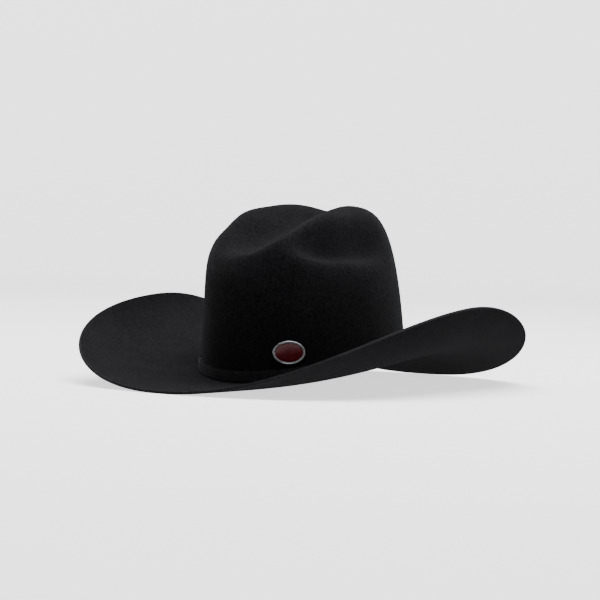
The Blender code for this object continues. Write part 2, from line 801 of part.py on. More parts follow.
def lining_side():
    rows = lining_rows([*range(LINING_TUCK_ROW, LINING_SEAM_ROW), LINING_SEAM_ROW - LINING_OPENING])
    side = shell("lining_side", rows, LINING_THICKNESS, SATIN)
    shade_round(side)


def lining_tip():
    rows = lining_rows([LINING_SEAM_ROW + LINING_OPENING, *range(LINING_SEAM_ROW + 1, CROWN_ROWS)])
    rows.append([crown_point(0, 1) - Vector((0, 0, LINING_FREE_OFFSET))])
    tip = shell("lining_tip", rows, LINING_THICKNESS, SATIN)
    shade_round(tip)


def lining_piping():
    below = LINING_FREE_OFFSET + LINING_THICKNESS + 2 * GAP + PIPING_RADIUS
    share = crown_share(LINING_SEAM_ROW / CROWN_ROWS)
    points = [dome_point(angle, share, -below) for angle in ring_angles()]
    tube("lining_piping", points, PIPING_RADIUS, SATIN, closed=True, sides=1)


# --- emblem -------------------------------------------------------------------------------------

def emblem_place():
    return wall_place(EMBLEM_ANGLE, EMBLEM_HEIGHT, 0)


def emblem_base():
    """An oval plate with a recess for the enamel and two posts through the felt."""
    top = GAP + EMBLEM_THICKNESS
    floor = top - ENAMEL_THICKNESS
    plate = mesh_from("plate", lambda shape: oval(shape, EMBLEM_SIZE, GAP, top))
    base = add_object("emblem_base", plate, PEWTER)
    base.matrix_world = emblem_place()
    recess = [size - 2 * EMBLEM_RIM for size in EMBLEM_SIZE]
    boolean(base, cutter("enamel_recess", lambda shape: oval(shape, recess, floor, floor + THROUGH),
                         emblem_place()))
    for side in (-1, 1):
        post = cutter("post", lambda shape: oval(shape, (2 * POST_RADIUS,) * 2, *POST_ENDS, POST_SEGMENTS),
                      emblem_place() @ Matrix.Translation((side * POST_SPACING / 2, 0, 0)))
        boolean(base, post, "UNION")


def emblem_enamel():
    top = GAP + EMBLEM_THICKNESS
    size = [size - 2 * EMBLEM_RIM - 2 * GAP for size in EMBLEM_SIZE]
    low = top - ENAMEL_THICKNESS + GAP
    disc = mesh_from("enamel", lambda shape: oval(shape, size, low, top + ENAMEL_PROUD))
    enamel = add_object("emblem_enamel", disc, ENAMEL)
    enamel.matrix_world = emblem_place()
    bevel(enamel, ENAMEL_THICKNESS / 4)


def emblem_backplate():
    """The small plate inside the crown that the posts are peened over."""
    size = (*BACKPLATE_SIZE, BACKPLATE_THICKNESS)
    plate = mesh_from("backplate", lambda shape: block(shape, size, (0, 0, BACKPLATE_AT)))
    backplate = add_object("emblem_backplate", plate, PEWTER)
    backplate.matrix_world = emblem_place()
    for side in (-1, 1):
        hole = cutter(
            "backplate_hole",
            lambda shape: oval(shape, POST_HOLE_SIZE, *POST_HOLE, POST_SEGMENTS),
            emblem_place() @ Matrix.Translation((side * POST_SPACING / 2, 0, 0)),
        )
        boolean(backplate, hole)


def main():
    for old in list(bpy.data.objects):
        bpy.data.objects.remove(old)
    for name in ("cowboy_hat", "cutters"):
        COLLECTIONS[name] = bpy.data.collections.new(name)
        bpy.context.scene.collection.children.link(COLLECTIONS[name])
    felt_body()
    hatband_strap()
    hatband_buckle_frame()
    hatband_buckle_prong()
    hatband_keeper()
    hatband_tip()
    band_tacks()
    sweatband()
    sweatband_reed()
    reed_tape()
    sweatband_thread()
    sweatband_bow()
    size_tag()
    lining_side()
    lining_tip()
    lining_piping()
    emblem_base()
    emblem_enamel()
    emblem_backplate()


main()
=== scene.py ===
"""The looks of a black felt cowboy hat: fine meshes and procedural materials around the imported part."""

from math import pi, radians, tau

import bmesh
import bpy
import numpy as np
from mathutils import Matrix, Vector

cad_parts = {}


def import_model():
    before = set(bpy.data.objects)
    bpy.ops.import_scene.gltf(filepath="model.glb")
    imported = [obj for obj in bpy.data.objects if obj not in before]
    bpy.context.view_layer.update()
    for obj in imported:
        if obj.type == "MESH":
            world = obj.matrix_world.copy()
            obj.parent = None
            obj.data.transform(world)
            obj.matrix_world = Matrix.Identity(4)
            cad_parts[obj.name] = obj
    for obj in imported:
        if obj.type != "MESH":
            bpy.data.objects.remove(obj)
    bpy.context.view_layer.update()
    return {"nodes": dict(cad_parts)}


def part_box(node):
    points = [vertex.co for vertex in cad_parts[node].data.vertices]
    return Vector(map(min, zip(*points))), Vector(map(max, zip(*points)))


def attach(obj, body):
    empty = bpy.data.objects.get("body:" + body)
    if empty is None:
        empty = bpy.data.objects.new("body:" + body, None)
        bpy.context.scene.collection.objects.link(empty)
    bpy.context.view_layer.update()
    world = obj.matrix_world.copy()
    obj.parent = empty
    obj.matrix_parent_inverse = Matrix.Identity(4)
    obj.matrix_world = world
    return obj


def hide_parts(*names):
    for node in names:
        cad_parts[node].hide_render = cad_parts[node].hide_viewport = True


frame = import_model()

# --- dimensions of the part, in metres ---

HALF_LENGTH = 0.1035
HALF_WIDTH = 0.0852
OVAL_EGG = -0.024
BREAK_SIDE_RISE = 0.0090
FLARE = 0.0018
FLARE_HEIGHT = 0.0045
FELT_THICKNESS = 0.0026
BRIM_WIDTH = 0.1021
BRIM_EXTRA_TIPS = 0.0027
BRIM_EXTRA_CORNERS = 0.0068
START_SLOPE = {"front": -1.1, "side": 7.3, "back": -11.6}
EDGE_SLOPE = {"front": -0.7, "side": 74.2, "back": -21.8}
EDGE_SLOPE_CORNER = {"front": 15.0, "back": 3.6}
SLOPE_POWER = 1.87
SIDE_POWER = 2.61
SLOPE_STEPS = 96

CROWN_HEIGHT = 0.1480
CROWN_TOP_Y = -0.0048
CROWN_FALL = {"front": 0.135, "back": 0.206}
CROWN_TAPER = {"front": -0.249, "side": 0.108, "back": 0.208}
CROWN_TAPER_CORNER = 0.080
CROWN_SQUARENESS = {"front": 10.39, "side": 7.68, "back": 6.57}
CROWN_SQUARENESS_CORNER = 3.33
SHOULDER = 2.27
SHOULDER_FRONT = 0.58
CREASE_DEPTH = 0.0305
CREASE_WIDTH = 0.0252
CREASE_TAPER = -0.363
CREASE_POWER = 2.16
CREASE_Y = -0.0385
CREASE_REACH = 0.0754
CREASE_FRONT_DEEPER = 0.526
CREASE_NARROWEST = 0.35
CREASE_STARTS = (0.50, 0.85)
DENT_DEPTH = {"left": 0.0247, "right": 0.0180}
DENT_Y = -0.0337
DENT_Z = 0.1247
DENT_REACH = 0.0521
DENT_HEIGHT = 0.0243
DENT_TILT = 0.022
DENT_POWER = 1.65
DENT_LEAN = radians(65.8)
DENT_FADE = 0.05

BAND_HEIGHT = 0.0092
BAND_THICKNESS = 0.0010
BAND_LIFT = 0.0010
BAND_LIFT_AT_BUCKLE = 0.0032
BAND_CLEARANCE = 0.0005
LIFTED_FROM = 0.1
LIFTED_REACH = 0.55
BUCKLE_ANGLE = radians(97.0)
EYE_HOLE_RADIUS = 0.0009
EYE_RADIUS = 0.0017
TONGUE_REACH = 0.0360
GAP = 0.0003
KEEPER_INSIDE = 0.0018
STEP_OUT = (0.004, 0.009)
STEP_IN = (0.022, 0.027)
CLIMB = (-0.011, -0.003)
SETTLE = (0.003, 0.009)
TACK_ANGLES = {"back": pi, "right": 1.5 * pi, "front_right": radians(322.0)}
TACK_RADIUS = 0.00025

SWEATBAND_THICKNESS = 0.0010
SWEATBAND_TOP = 0.0560
SWEATBAND_BOTTOM = 0.0008
SWEATBAND_SPLIT = radians(0.7)
SWEATBAND_INSET = 0.0044
SWEATBAND_FOOT_INSET = 0.0067
LEATHER_FREE = (0.009, 0.019)
REED_RADIUS = 0.0008
REED_HEIGHT = 0.0024
TAPE_INSET = 0.0048
TAPE_BEND = 0.0013
TAPE_TOP = 0.0110
TAPE_HEM = 0.0050
TAPE_THICKNESS = 0.0004
THREAD_RADIUS = 0.0003
THREAD_HEIGHT = 0.0060
TAG_SIZE = (0.0180, 0.0120)
TAG_ANGLE = radians(154.0)
TAG_HEIGHT = 0.0360

LINING_TUCK_OFFSET = 0.0031
LINING_FREE_OFFSET = 0.0048
LINING_FREE = (0.060, 0.072)
LINING_THICKNESS = 0.0004
PIPING_RADIUS = 0.0010

EMBLEM_ANGLE = radians(31.0)
EMBLEM_HEIGHT = 0.0240
EMBLEM_SIZE = (0.0280, 0.0200)
EMBLEM_THICKNESS = 0.0014
ENAMEL_THICKNESS = 0.0006


# --- the felt surface, for arrays of angles ---

def front_back(values, angle):
    weight = 0.5 + 0.5 * np.cos(angle)
    return values["front"] * weight + values["back"] * (1 - weight)


def round_the_hat(values, angle):
    side = np.sin(angle) ** 2
    return front_back(values, angle) * (1 - side) + values["side"] * side


def outward(angle):
    """The level direction straight out of the head oval."""
    x = np.sin(angle) / HALF_WIDTH
    y = -np.cos(angle) / HALF_LENGTH
    return np.stack([x, y, 0 * x], -1) / np.hypot(x, y)[..., None]


def brim_slopes(angle):
    side = np.abs(np.sin(angle)) ** SIDE_POWER
    start = front_back(START_SLOPE, angle) * (1 - side) + START_SLOPE["side"] * side
    edge = front_back(EDGE_SLOPE, angle) * (1 - side) + EDGE_SLOPE["side"] * side
    corner = np.where(np.cos(angle) >= 0, EDGE_SLOPE_CORNER["front"], EDGE_SLOPE_CORNER["back"])
    edge = edge + corner * np.sin(2 * angle) ** 2
    return np.radians(start), np.radians(edge)


def brim_width(angle):
    return BRIM_WIDTH + BRIM_EXTRA_TIPS * np.cos(angle) ** 2 + BRIM_EXTRA_CORNERS * np.sin(2 * angle) ** 2


def brim_profile(angle, share):
    """How far out and up the brim's top face has come at a share of its width."""
    start, edge = brim_slopes(angle)
    step = brim_width(angle) * share / SLOPE_STEPS
    out = 0 * step
    up = 0 * step
    for i in range(SLOPE_STEPS):
        slope = start + (edge - start) * (share * (i + 0.5) / SLOPE_STEPS) ** SLOPE_POWER
        out = out + np.cos(slope) * step
        up = up + np.sin(slope) * step
    return out, up


def tip_level(angle):
    """How high the underside of the brim's edge is over the break."""
    angle = np.float64(angle)
    return brim_profile(angle, 1.0)[1] - FELT_THICKNESS * np.cos(brim_slopes(angle)[1])


BREAK_Z = -(tip_level(0) + tip_level(pi)) / 2
BREAK_FRONT_RISE = (tip_level(pi) - tip_level(0)) / 2
OVAL_SHIFT = (brim_profile(np.float64(0), 1.0)[0] - brim_profile(np.float64(pi), 1.0)[0]) / 2


def break_point(angle):
    """Where the crown meets the brim."""
    x = HALF_WIDTH * np.sin(angle) * (1 - OVAL_EGG * np.cos(angle))
    y = OVAL_SHIFT - HALF_LENGTH * np.cos(angle)
    z = BREAK_Z + BREAK_SIDE_RISE * np.sin(angle) ** 2 + BREAK_FRONT_RISE * np.cos(angle)
    return np.stack([x, y, z], -1)


def brim_point(angle, share):
    angle, share = np.broadcast_arrays(np.asarray(angle, float), np.asarray(share, float))
    out, up = brim_profile(angle, share)
    level = outward(angle) * (FLARE + out)[..., None]
    return break_point(angle) + level + up[..., None] * np.array([0, 0, 1])


def ramp(value, start, end):
    value = np.clip((value - start) / (end - start), 0, 1)
    return value * value * (3 - 2 * value)


def dented(x, y, height, top):
    """The dome after the two side dents and the centre crease; y from the oval's middle."""
    along = (y - DENT_Y) / DENT_REACH
    across = (height - DENT_Z - DENT_TILT * (y - DENT_Y)) / DENT_HEIGHT
    dent = np.exp(-((along * along) ** DENT_POWER) - across * across)
    depth = np.where(x > 0, DENT_DEPTH["left"], DENT_DEPTH["right"])
    dent = dent * depth * ramp(np.abs(x), 0, DENT_FADE)
    x = x - np.where(x > 0, 1, -1) * dent * np.cos(DENT_LEAN)
    height = height - dent * np.sin(DENT_LEAN)
    from_middle = (y - CREASE_Y) / CREASE_REACH
    width = CREASE_WIDTH * np.maximum(1 + CREASE_TAPER * from_middle, CREASE_NARROWEST)
    crease = np.exp(-(from_middle ** 4) - (np.abs(x) / width) ** CREASE_POWER)
    crease = crease * CREASE_DEPTH * np.maximum(1 - CREASE_FRONT_DEEPER * from_middle, 0)
    return x, height - crease * ramp(height / top, *CREASE_STARTS)


def crown_from_cosine(angle, cosine):
    """The crown's outside, from the break (cosine 1) to the middle of its top (cosine 0)."""
    angle, cosine = np.broadcast_arrays(np.asarray(angle, float), np.asarray(cosine, float))
    base = break_point(angle)
    corner = np.where(np.cos(angle) > 0, np.sin(2 * angle) ** 2, 0)
    taper = round_the_hat(CROWN_TAPER, angle) + CROWN_TAPER_CORNER * corner
    squareness = round_the_hat(CROWN_SQUARENESS, angle) + CROWN_SQUARENESS_CORNER * corner
    shoulder = SHOULDER + SHOULDER_FRONT * (0.5 + 0.5 * np.cos(angle)) ** 1.5
    rise = np.clip(1 - cosine * cosine, 0, 1) ** (1 / shoulder)
    spread = (1 - taper * rise) * np.clip(cosine, 0, 1) ** (2 / squareness)
    x = base[..., 0] * spread
    y = (base[..., 1] - OVAL_SHIFT) * spread
    fall = np.where(y < CROWN_TOP_Y, CROWN_FALL["front"], CROWN_FALL["back"])
    top = CROWN_HEIGHT * (1 - fall * ((y - CROWN_TOP_Y) / HALF_LENGTH) ** 2)
    x, height = dented(x, y, (base[..., 2] - BREAK_Z) * (1 - rise) + top * rise, top)
    point = np.stack([x, OVAL_SHIFT + y, BREAK_Z + height], -1)
    flare = FLARE * np.exp(-(point[..., 2] - base[..., 2]) / FLARE_HEIGHT)
    return point + outward(angle) * flare[..., None]


def crown_point(angle, share):
    return crown_from_cosine(angle, np.cos(np.asarray(share, float) * pi / 2))


def unit(vectors):
    return vectors / np.maximum(np.linalg.norm(vectors, axis=-1, keepdims=True), 1e-12)


def wall_frame(angle, height):
    """Places on the crown's wall at heights over the break: points, outward normals, ways up."""
    angle, height = np.broadcast_arrays(np.asarray(angle, float), np.asarray(height, float))
    low = np.zeros(angle.shape)
    high = np.full(angle.shape, 0.5)
    target = break_point(angle)[..., 2] + height
    for _ in range(30):
        middle = (low + high) / 2
        below = crown_point(angle, middle)[..., 2] < target
        low = np.where(below, middle, low)
        high = np.where(below, high, middle)
    share = np.maximum((low + high) / 2, 0.004)
    up = unit(crown_point(angle, share + 0.002) - crown_point(angle, share - 0.002))
    around = crown_point(angle + 0.01, share) - crown_point(angle - 0.01, share)
    return crown_point(angle, (low + high) / 2), unit(np.cross(around, up)), up


def wall_point(angle, height, offset):
    """Points beside the crown's wall; a negative offset is inside the crown."""
    point, out, _ = wall_frame(angle, height)
    level = unit(out * np.array([1, 1, 0]))
    return point + level * np.asarray(offset, float)[..., None]


def inner_point(angle, height, inset):
    """Points inside the crown, whose foot goes straight down without the felt's flare."""
    angle, height, inset = np.broadcast_arrays(*(np.asarray(v, float) for v in (angle, height, inset)))
    point = wall_point(angle, np.maximum(height, THREAD_HEIGHT), -inset)
    point[..., 2] = break_point(angle)[..., 2] + height
    return point


# --- making meshes ---

def new_object(name, data):
    made = bpy.data.objects.new(name, data)
    bpy.context.scene.collection.objects.link(made)
    return made


def grid_normals(points, closed):
    """Normals of a grid of points: the way along its rows crossed with the way from row to row."""
    if closed:
        around = np.roll(points, -1, 1) - np.roll(points, 1, 1)
    else:
        around = np.gradient(points, axis=1)
    return unit(np.cross(around, np.gradient(points, axis=0)))


def grid_mesh(name, points, closed_rows=False, closed_columns=False, first_pole=False, last_pole=False,
              caps=False):
    """A mesh over a grid of points (rows, columns, 3), with its UVs in metres along the grid."""
    rows, columns = points.shape[:2]
    index = np.arange(rows * columns).reshape(rows, columns)
    down = np.vstack([index, index[:1]]) if closed_columns else index
    grid = np.hstack([down, down[:, :1]]) if closed_rows else down
    quads = np.stack([grid[:-1, :-1], grid[:-1, 1:], grid[1:, 1:], grid[1:, :-1]], -1).reshape(-1, 4)
    faces = quads.tolist()
    if first_pole:
        faces.append(index[0, ::-1].tolist())
    if last_pole:
        faces.append(index[-1].tolist())
    if caps:
        faces.append(index[:, 0].tolist())
        faces.append(index[::-1, -1].tolist())
    mesh = bpy.data.meshes.new(name)
    mesh.from_pydata(points.reshape(-1, 3).tolist(), [], faces)
    along = np.zeros((rows, columns))
    along[:, 1:] = np.cumsum(np.linalg.norm(np.diff(points, axis=1), axis=-1), 1)
    across = np.zeros((rows, columns))
    across[1:] = np.cumsum(np.linalg.norm(np.diff(points, axis=0), axis=-1), 0)
    uv = np.stack([along, across], -1).reshape(-1, 2)
    corners = np.zeros(len(mesh.loops), np.int32)
    mesh.loops.foreach_get("vertex_index", corners)
    mesh.uv_layers.new(name="metres").data.foreach_set("uv", uv[corners].astype(np.float32).ravel())
    face_outwards(mesh)
    mesh.shade_smooth()
    return new_object(name, mesh)


def face_outwards(mesh):
    shape = bmesh.new()
    shape.from_mesh(mesh)
    bmesh.ops.recalc_face_normals(shape, faces=shape.faces)
    shape.to_mesh(mesh)
    shape.free()


def add_piece(made, finish, replaces=(), body="hat"):
    made.data.materials.clear()
    made.data.materials.append(finish)
    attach(made, body)
    if replaces:
        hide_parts(*replaces)


def strip_section(low, high, inner, outer, radius, steps=3):
    """A strip's cross-section with rounded corners, as heights and offsets."""
    corners = ((high - radius, outer - radius, 0), (low + radius, outer - radius, 1),
               (low + radius, inner + radius, 2), (high - radius, inner + radius, 3))
    heights = []
    offsets = []
    for height, offset, quarter in corners:
        for i in range(steps + 1):
            turn = (quarter + i / steps) * pi / 2
            heights.append(height + radius * np.cos(turn))
            offsets.append(offset + radius * np.sin(turn))
    return np.array(heights), np.array(offsets)


def tube_mesh(name, path, radius, closed=False, sides=10):
    """A tube along a path of points; the radius is one number or one for each point."""
    path = np.asarray(path, float)
    radius = np.broadcast_to(np.asarray(radius, float), path.shape[:1])
    if closed:
        tangent = unit(np.roll(path, -1, 0) - np.roll(path, 1, 0))
    else:
        tangent = unit(np.gradient(path, axis=0))
    guide = np.array([0.0, 0.0, 1.0])
    if np.abs(tangent @ guide).max() > 0.95:
        guide = np.array([0.3, 1.0, 0.2])
    side = unit(np.cross(tangent, guide))
    up = np.cross(side, tangent)
    turn = np.arange(sides) * tau / sides
    ring = side[:, None] * np.cos(turn)[None, :, None] + up[:, None] * np.sin(turn)[None, :, None]
    points = path[:, None] + ring * radius[:, None, None]
    return grid_mesh(name, points, closed_rows=True, closed_columns=closed,
                     first_pole=not closed, last_pole=not closed)


def joined(name, parts):
    """Several new objects as one object."""
    meshes = [(part.data, part.matrix_world.copy()) for part in parts]
    shape = bmesh.new()
    for mesh, place in meshes:
        mesh.transform(place)
        shape.from_mesh(mesh)
    whole = bpy.data.meshes.new(name)
    shape.to_mesh(whole)
    shape.free()
    whole.shade_smooth()
    for part in parts:
        bpy.data.objects.remove(part)
    return new_object(name, whole)


# --- materials ---

def new_material(name, color, roughness, metallic=0.0, specular=0.5, sheen=0.0, sheen_roughness=0.5,
                 sheen_tint=(1, 1, 1)):
    """A Principled material; returns it with its node tree and shader."""
    made = bpy.data.materials.new(name)
    made.use_nodes = True
    shader = made.node_tree.nodes["Principled BSDF"]
    shader.inputs["Base Color"].default_value = (*color, 1)
    shader.inputs["Roughness"].default_value = roughness
    shader.inputs["Metallic"].default_value = metallic
    shader.inputs["Specular IOR Level"].default_value = specular
    shader.inputs["Sheen Weight"].default_value = sheen
    shader.inputs["Sheen Roughness"].default_value = sheen_roughness
    shader.inputs["Sheen Tint"].default_value = (*sheen_tint, 1)
    return made, made.node_tree, shader


def noise(tree, scale, detail=3.0, roughness=0.6, stretch=None, uv=False):
    """A noise texture in object space (per metre), or along the piece's own UVs."""
    where = tree.nodes.new("ShaderNodeTexCoord")
    source = where.outputs["UV" if uv else "Object"]
    if stretch:
        mapping = tree.nodes.new("ShaderNodeMapping")
        mapping.inputs["Scale"].default_value = stretch
        tree.links.new(source, mapping.inputs["Vector"])
        source = mapping.outputs["Vector"]
    made = tree.nodes.new("ShaderNodeTexNoise")
    made.inputs["Scale"].default_value = scale
    made.inputs["Detail"].default_value = detail
    made.inputs["Roughness"].default_value = roughness
    tree.links.new(source, made.inputs["Vector"])
    return made.outputs["Fac"]


def colors(tree, shader, factor, stops):
    """Base colour from a factor, over (place, colour) stops."""
    made = tree.nodes.new("ShaderNodeValToRGB")
    made.color_ramp.elements[0].position = stops[0][0]
    made.color_ramp.elements[0].color = (*stops[0][1], 1)
    made.color_ramp.elements[1].position = stops[-1][0]
    made.color_ramp.elements[1].color = (*stops[-1][1], 1)
    for place, color in stops[1:-1]:
        made.color_ramp.elements.new(place).color = (*color, 1)
    tree.links.new(factor, made.inputs["Fac"])
    tree.links.new(made.outputs["Color"], shader.inputs["Base Color"])


def bumps(tree, shader, layers):
    """Bump from (height, strength, depth in metres) layers, one on the other."""
    normal = None
    for height, strength, depth in layers:
        made = tree.nodes.new("ShaderNodeBump")
        made.inputs["Strength"].default_value = strength
        made.inputs["Distance"].default_value = depth
        tree.links.new(height, made.inputs["Height"])
        if normal:
            tree.links.new(normal, made.inputs["Normal"])
        normal = made.outputs["Normal"]
    tree.links.new(normal, shader.inputs["Normal"])


def math_node(tree, operation, first, second=None):
    made = tree.nodes.new("ShaderNodeMath")
    made.operation = operation
    for slot, value in enumerate((first, second)):
        if isinstance(value, (int, float)):
            made.inputs[slot].default_value = value
        elif value is not None:
            tree.links.new(value, made.inputs[slot])
    return made.outputs[0]


WAVE_RADIANS = 20  # how far Blender's wave texture turns in one unit at a scale of 1


def wave(tree, scale, direction):
    """Straight waves along the piece's own UVs, scale of them per metre."""
    where = tree.nodes.new("ShaderNodeTexCoord")
    made = tree.nodes.new("ShaderNodeTexWave")
    made.wave_type = "BANDS"
    made.bands_direction = direction
    made.wave_profile = "SIN"
    made.inputs["Scale"].default_value = scale / WAVE_RADIANS * tau
    made.inputs["Distortion"].default_value = 0.0
    tree.links.new(where.outputs["UV"], made.inputs["Vector"])
    return made.outputs["Fac"]


# noise scale per metre, detail, roughness; share in the colour; bump strength and depth in metres
FELT_LAYERS = {
    "cloud": ((34, 2, 0.5), 0.10, (0.25, 0.0010)),
    "mat": ((420, 3, 0.6), 0.35, (0.8, 0.0008)),
    "fibre": ((1100, 4, 0.75), 0.55, (1.0, 0.0005)),
}
FELT_BLOOM = (0.79, 0.81, 0.86)
FELT_STOPS = (0.36, 0.50, 0.64)


def felt_material(name, dark, light, sheen):
    """Fur felt: short fibres lying every way, matted and shaved, with a soft bloom at a low angle."""
    made, tree, shader = new_material(name, dark, 1.0, specular=0.0, sheen=sheen, sheen_roughness=0.42,
                                      sheen_tint=FELT_BLOOM)
    layers = {layer: noise(tree, *texture) for layer, (texture, _, _) in FELT_LAYERS.items()}
    shares = {layer: math_node(tree, "MULTIPLY", layers[layer], share)
              for layer, (_, share, _) in FELT_LAYERS.items()}
    grain = math_node(tree, "ADD", shares["fibre"], shares["mat"])
    grain = math_node(tree, "ADD", grain, shares["cloud"])
    middle = tuple((a + b) / 2 for a, b in zip(dark, light))
    colors(tree, shader, grain, list(zip(FELT_STOPS, (dark, middle, light))))
    bumps(tree, shader, [(layers[layer], *bump) for layer, (_, _, bump) in FELT_LAYERS.items()])
    return made


def metal_material(name, color, roughness, scale):
    """Worn polished metal with faint brushing and tarnish."""
    made, tree, shader = new_material(name, color, roughness, metallic=1.0)
    tarnish = noise(tree, scale, 4, 0.6)
    brushing = noise(tree, scale * 6, 2, 0.5, stretch=(1, 1, 8))
    colors(tree, shader, tarnish, [(0.35, tuple(0.88 * c for c in color)), (0.6, color)])
    spread = math_node(tree, "ADD", math_node(tree, "MULTIPLY", tarnish, 0.12), roughness - 0.06)
    tree.links.new(spread, shader.inputs["Roughness"])
    bumps(tree, shader, [(brushing, 0.15, 0.00005)])
    return made


LEATHER_COLORS = ((0.3, (0.020, 0.011, 0.007)), (0.55, (0.040, 0.023, 0.014)), (0.8, (0.07, 0.042, 0.026)))
PEBBLES_PER_METRE = 900


def leather_material():
    """Smooth brown leather with a fine pebbled grain and patches of polish."""
    made, tree, shader = new_material("sweatband_leather", (0.035, 0.022, 0.015), 0.45, specular=0.5)
    where = tree.nodes.new("ShaderNodeTexCoord")
    cells = tree.nodes.new("ShaderNodeTexVoronoi")
    cells.feature = "DISTANCE_TO_EDGE"
    cells.inputs["Scale"].default_value = PEBBLES_PER_METRE
    tree.links.new(where.outputs["Object"], cells.inputs["Vector"])
    pebbles = math_node(tree, "MINIMUM", math_node(tree, "MULTIPLY", cells.outputs["Distance"], 6.0), 1.0)
    wear = noise(tree, 60, 4, 0.6)
    colors(tree, shader, wear, LEATHER_COLORS)
    polish = math_node(tree, "ADD", math_node(tree, "MULTIPLY", wear, 0.35), 0.28)
    tree.links.new(polish, shader.inputs["Roughness"])
    bumps(tree, shader, [(wear, 0.3, 0.0006), (pebbles, 0.5, 0.00012)])
    return made


def satin_material(name, dark, light):
    """Satin: long floats across the UVs, a soft sheen and faint creases."""
    made, tree, shader = new_material(name, dark, 0.32, specular=0.6, sheen=0.25, sheen_roughness=0.3)
    threads = noise(tree, 1.0, 2, 0.5, stretch=(5200, 300, 1), uv=True)
    creases = noise(tree, 45, 3, 0.5)
    colors(tree, shader, threads, [(0.35, dark), (0.65, light)])
    bumps(tree, shader, [(creases, 0.35, 0.0012), (threads, 0.35, 0.00008)])
    return made


def woven_material(name, dark, light, threads, depth, roughness=0.8, sheen=0.2):
    """A plain or ribbed weave along the UVs; threads are counted per metre across and along."""
    made, tree, shader = new_material(name, dark, roughness, specular=0.3, sheen=sheen, sheen_roughness=0.5)
    across = wave(tree, threads[0], "X")
    along = wave(tree, threads[1], "Y")
    weave = math_node(tree, "MAXIMUM", across, along)
    colors(tree, shader, weave, [(0.3, dark), (0.9, light)])
    bumps(tree, shader, [(weave, 0.6, depth)])
    return made


def thread_material(name, dark, light):
    made, tree, shader = new_material(name, dark, 0.6, specular=0.3, sheen=0.3, sheen_roughness=0.4)
    twist = noise(tree, 2600, 2, 0.5, stretch=(1, 1, 2.5))
    colors(tree, shader, twist, [(0.35, dark), (0.65, light)])
    bumps(tree, shader, [(twist, 0.5, 0.0001)])
    return made


def enamel_material():
    """Dark red glass enamel with a slow change of depth."""
    made, tree, shader = new_material("enamel", (0.03, 0.002, 0.003), 0.25, specular=0.18)
    depth = noise(tree, 260, 3, 0.5)
    colors(tree, shader, depth, [(0.3, (0.026, 0.001, 0.002)), (0.7, (0.046, 0.002, 0.004))])
    bumps(tree, shader, [(depth, 0.1, 0.0002)])
    return made


def plastic_material(name, color):
    made, tree, shader = new_material(name, color, 0.4)
    drawn = noise(tree, 300, 2, 0.5, stretch=(1, 1, 6))
    colors(tree, shader, drawn, [(0.3, tuple(0.85 * c for c in color)), (0.7, color)])
    bumps(tree, shader, [(drawn, 0.2, 0.00006)])
    return made


FELT = felt_material("felt", (0.0006, 0.0005, 0.0007), (0.0060, 0.0056, 0.0062), 0.0270)
# painted light: the band's felt is a lighter copy of the body felt, making up for the shade the brim casts
# on the band
BAND_FELT_PAINTED_LIGHT = felt_material("band_felt", (0.0012, 0.0011, 0.0013), (0.0100, 0.0094, 0.0103), 0.028)
# painted highlight: a lighter copy of the felt for the cut edges of the brim and band, standing in for the
# light they catch
EDGE_HIGHLIGHT_FELT = felt_material("felt_cut_edge_painted_highlight", (0.0030, 0.0028, 0.0031), (0.0100, 0.0095, 0.0104), 0.032)
NICKEL = metal_material("buckle_metal", (0.46, 0.455, 0.44), 0.24, 500)
PEWTER = metal_material("emblem_metal", (0.20, 0.20, 0.21), 0.38, 900)
LEATHER = leather_material()
SATIN = satin_material("lining_satin", (0.010, 0.010, 0.012), (0.030, 0.030, 0.034))
TAPE = woven_material("woven_tape", (0.008, 0.008, 0.008), (0.030, 0.030, 0.030), (1500, 1500), 0.00008)
RIBBON = woven_material("ribbon", (0.007, 0.007, 0.008), (0.026, 0.026, 0.028), (2200, 0.001), 0.00010, 0.5)
TAG_CLOTH = woven_material("tag_cloth", (0.42, 0.40, 0.37), (0.66, 0.64, 0.60), (2800, 2800), 0.00005, 0.6)
BLACK_THREAD = thread_material("thread", (0.006, 0.006, 0.006), (0.030, 0.030, 0.030))
WAXED_THREAD = thread_material("sweatband_thread", (0.20, 0.17, 0.13), (0.40, 0.35, 0.27))
REED = plastic_material("reed_plastic", (0.72, 0.70, 0.65))
ENAMEL = enamel_material()


# --- hat body ---

BODY_COLUMNS = 432
BRIM_ROWS = 64
CROWN_ROWS = 150
EDGE_ROUND = 0.0007
PROFILE_STEPS = 3000


def even_cosines(count):
    """Cosines up the crown that put its rows at even distances, from its side's undented profile."""
    wall = 1 - np.linspace(0, 1, PROFILE_STEPS) ** 4 * 0.5
    top = wall[-1] * np.linspace(1, 0, PROFILE_STEPS)[1:] ** 5
    cosine = np.concatenate([wall, top])
    spread = cosine ** (2 / CROWN_SQUARENESS["side"])
    rise = np.clip(1 - cosine ** 2, 0, 1) ** (1 / SHOULDER)
    steps = np.hypot(np.diff(spread) * HALF_LENGTH, np.diff(rise) * CROWN_HEIGHT)
    length = np.concatenate([[0], np.cumsum(steps)])
    return np.interp(np.linspace(0, length[-1], count), length, cosine)


def body_surfaces():
    """The felt's outer and inner faces, as rows from the brim's edge to the middle of the top."""
    angle = np.arange(BODY_COLUMNS) * tau / BODY_COLUMNS
    shares = np.linspace(1 - EDGE_ROUND / BRIM_WIDTH, 0, BRIM_ROWS)[:-1]
    brim = np.stack([brim_point(angle, np.full(angle.shape, share)) for share in shares])
    crown = np.stack([crown_from_cosine(angle, cosine) for cosine in even_cosines(CROWN_ROWS)[:-1]])
    outer = np.concatenate([brim, crown])
    normals = grid_normals(outer, True)
    inner = outer - normals * FELT_THICKNESS
    inner[..., 2] = np.maximum(inner[..., 2], 0)
    return outer, inner, normals


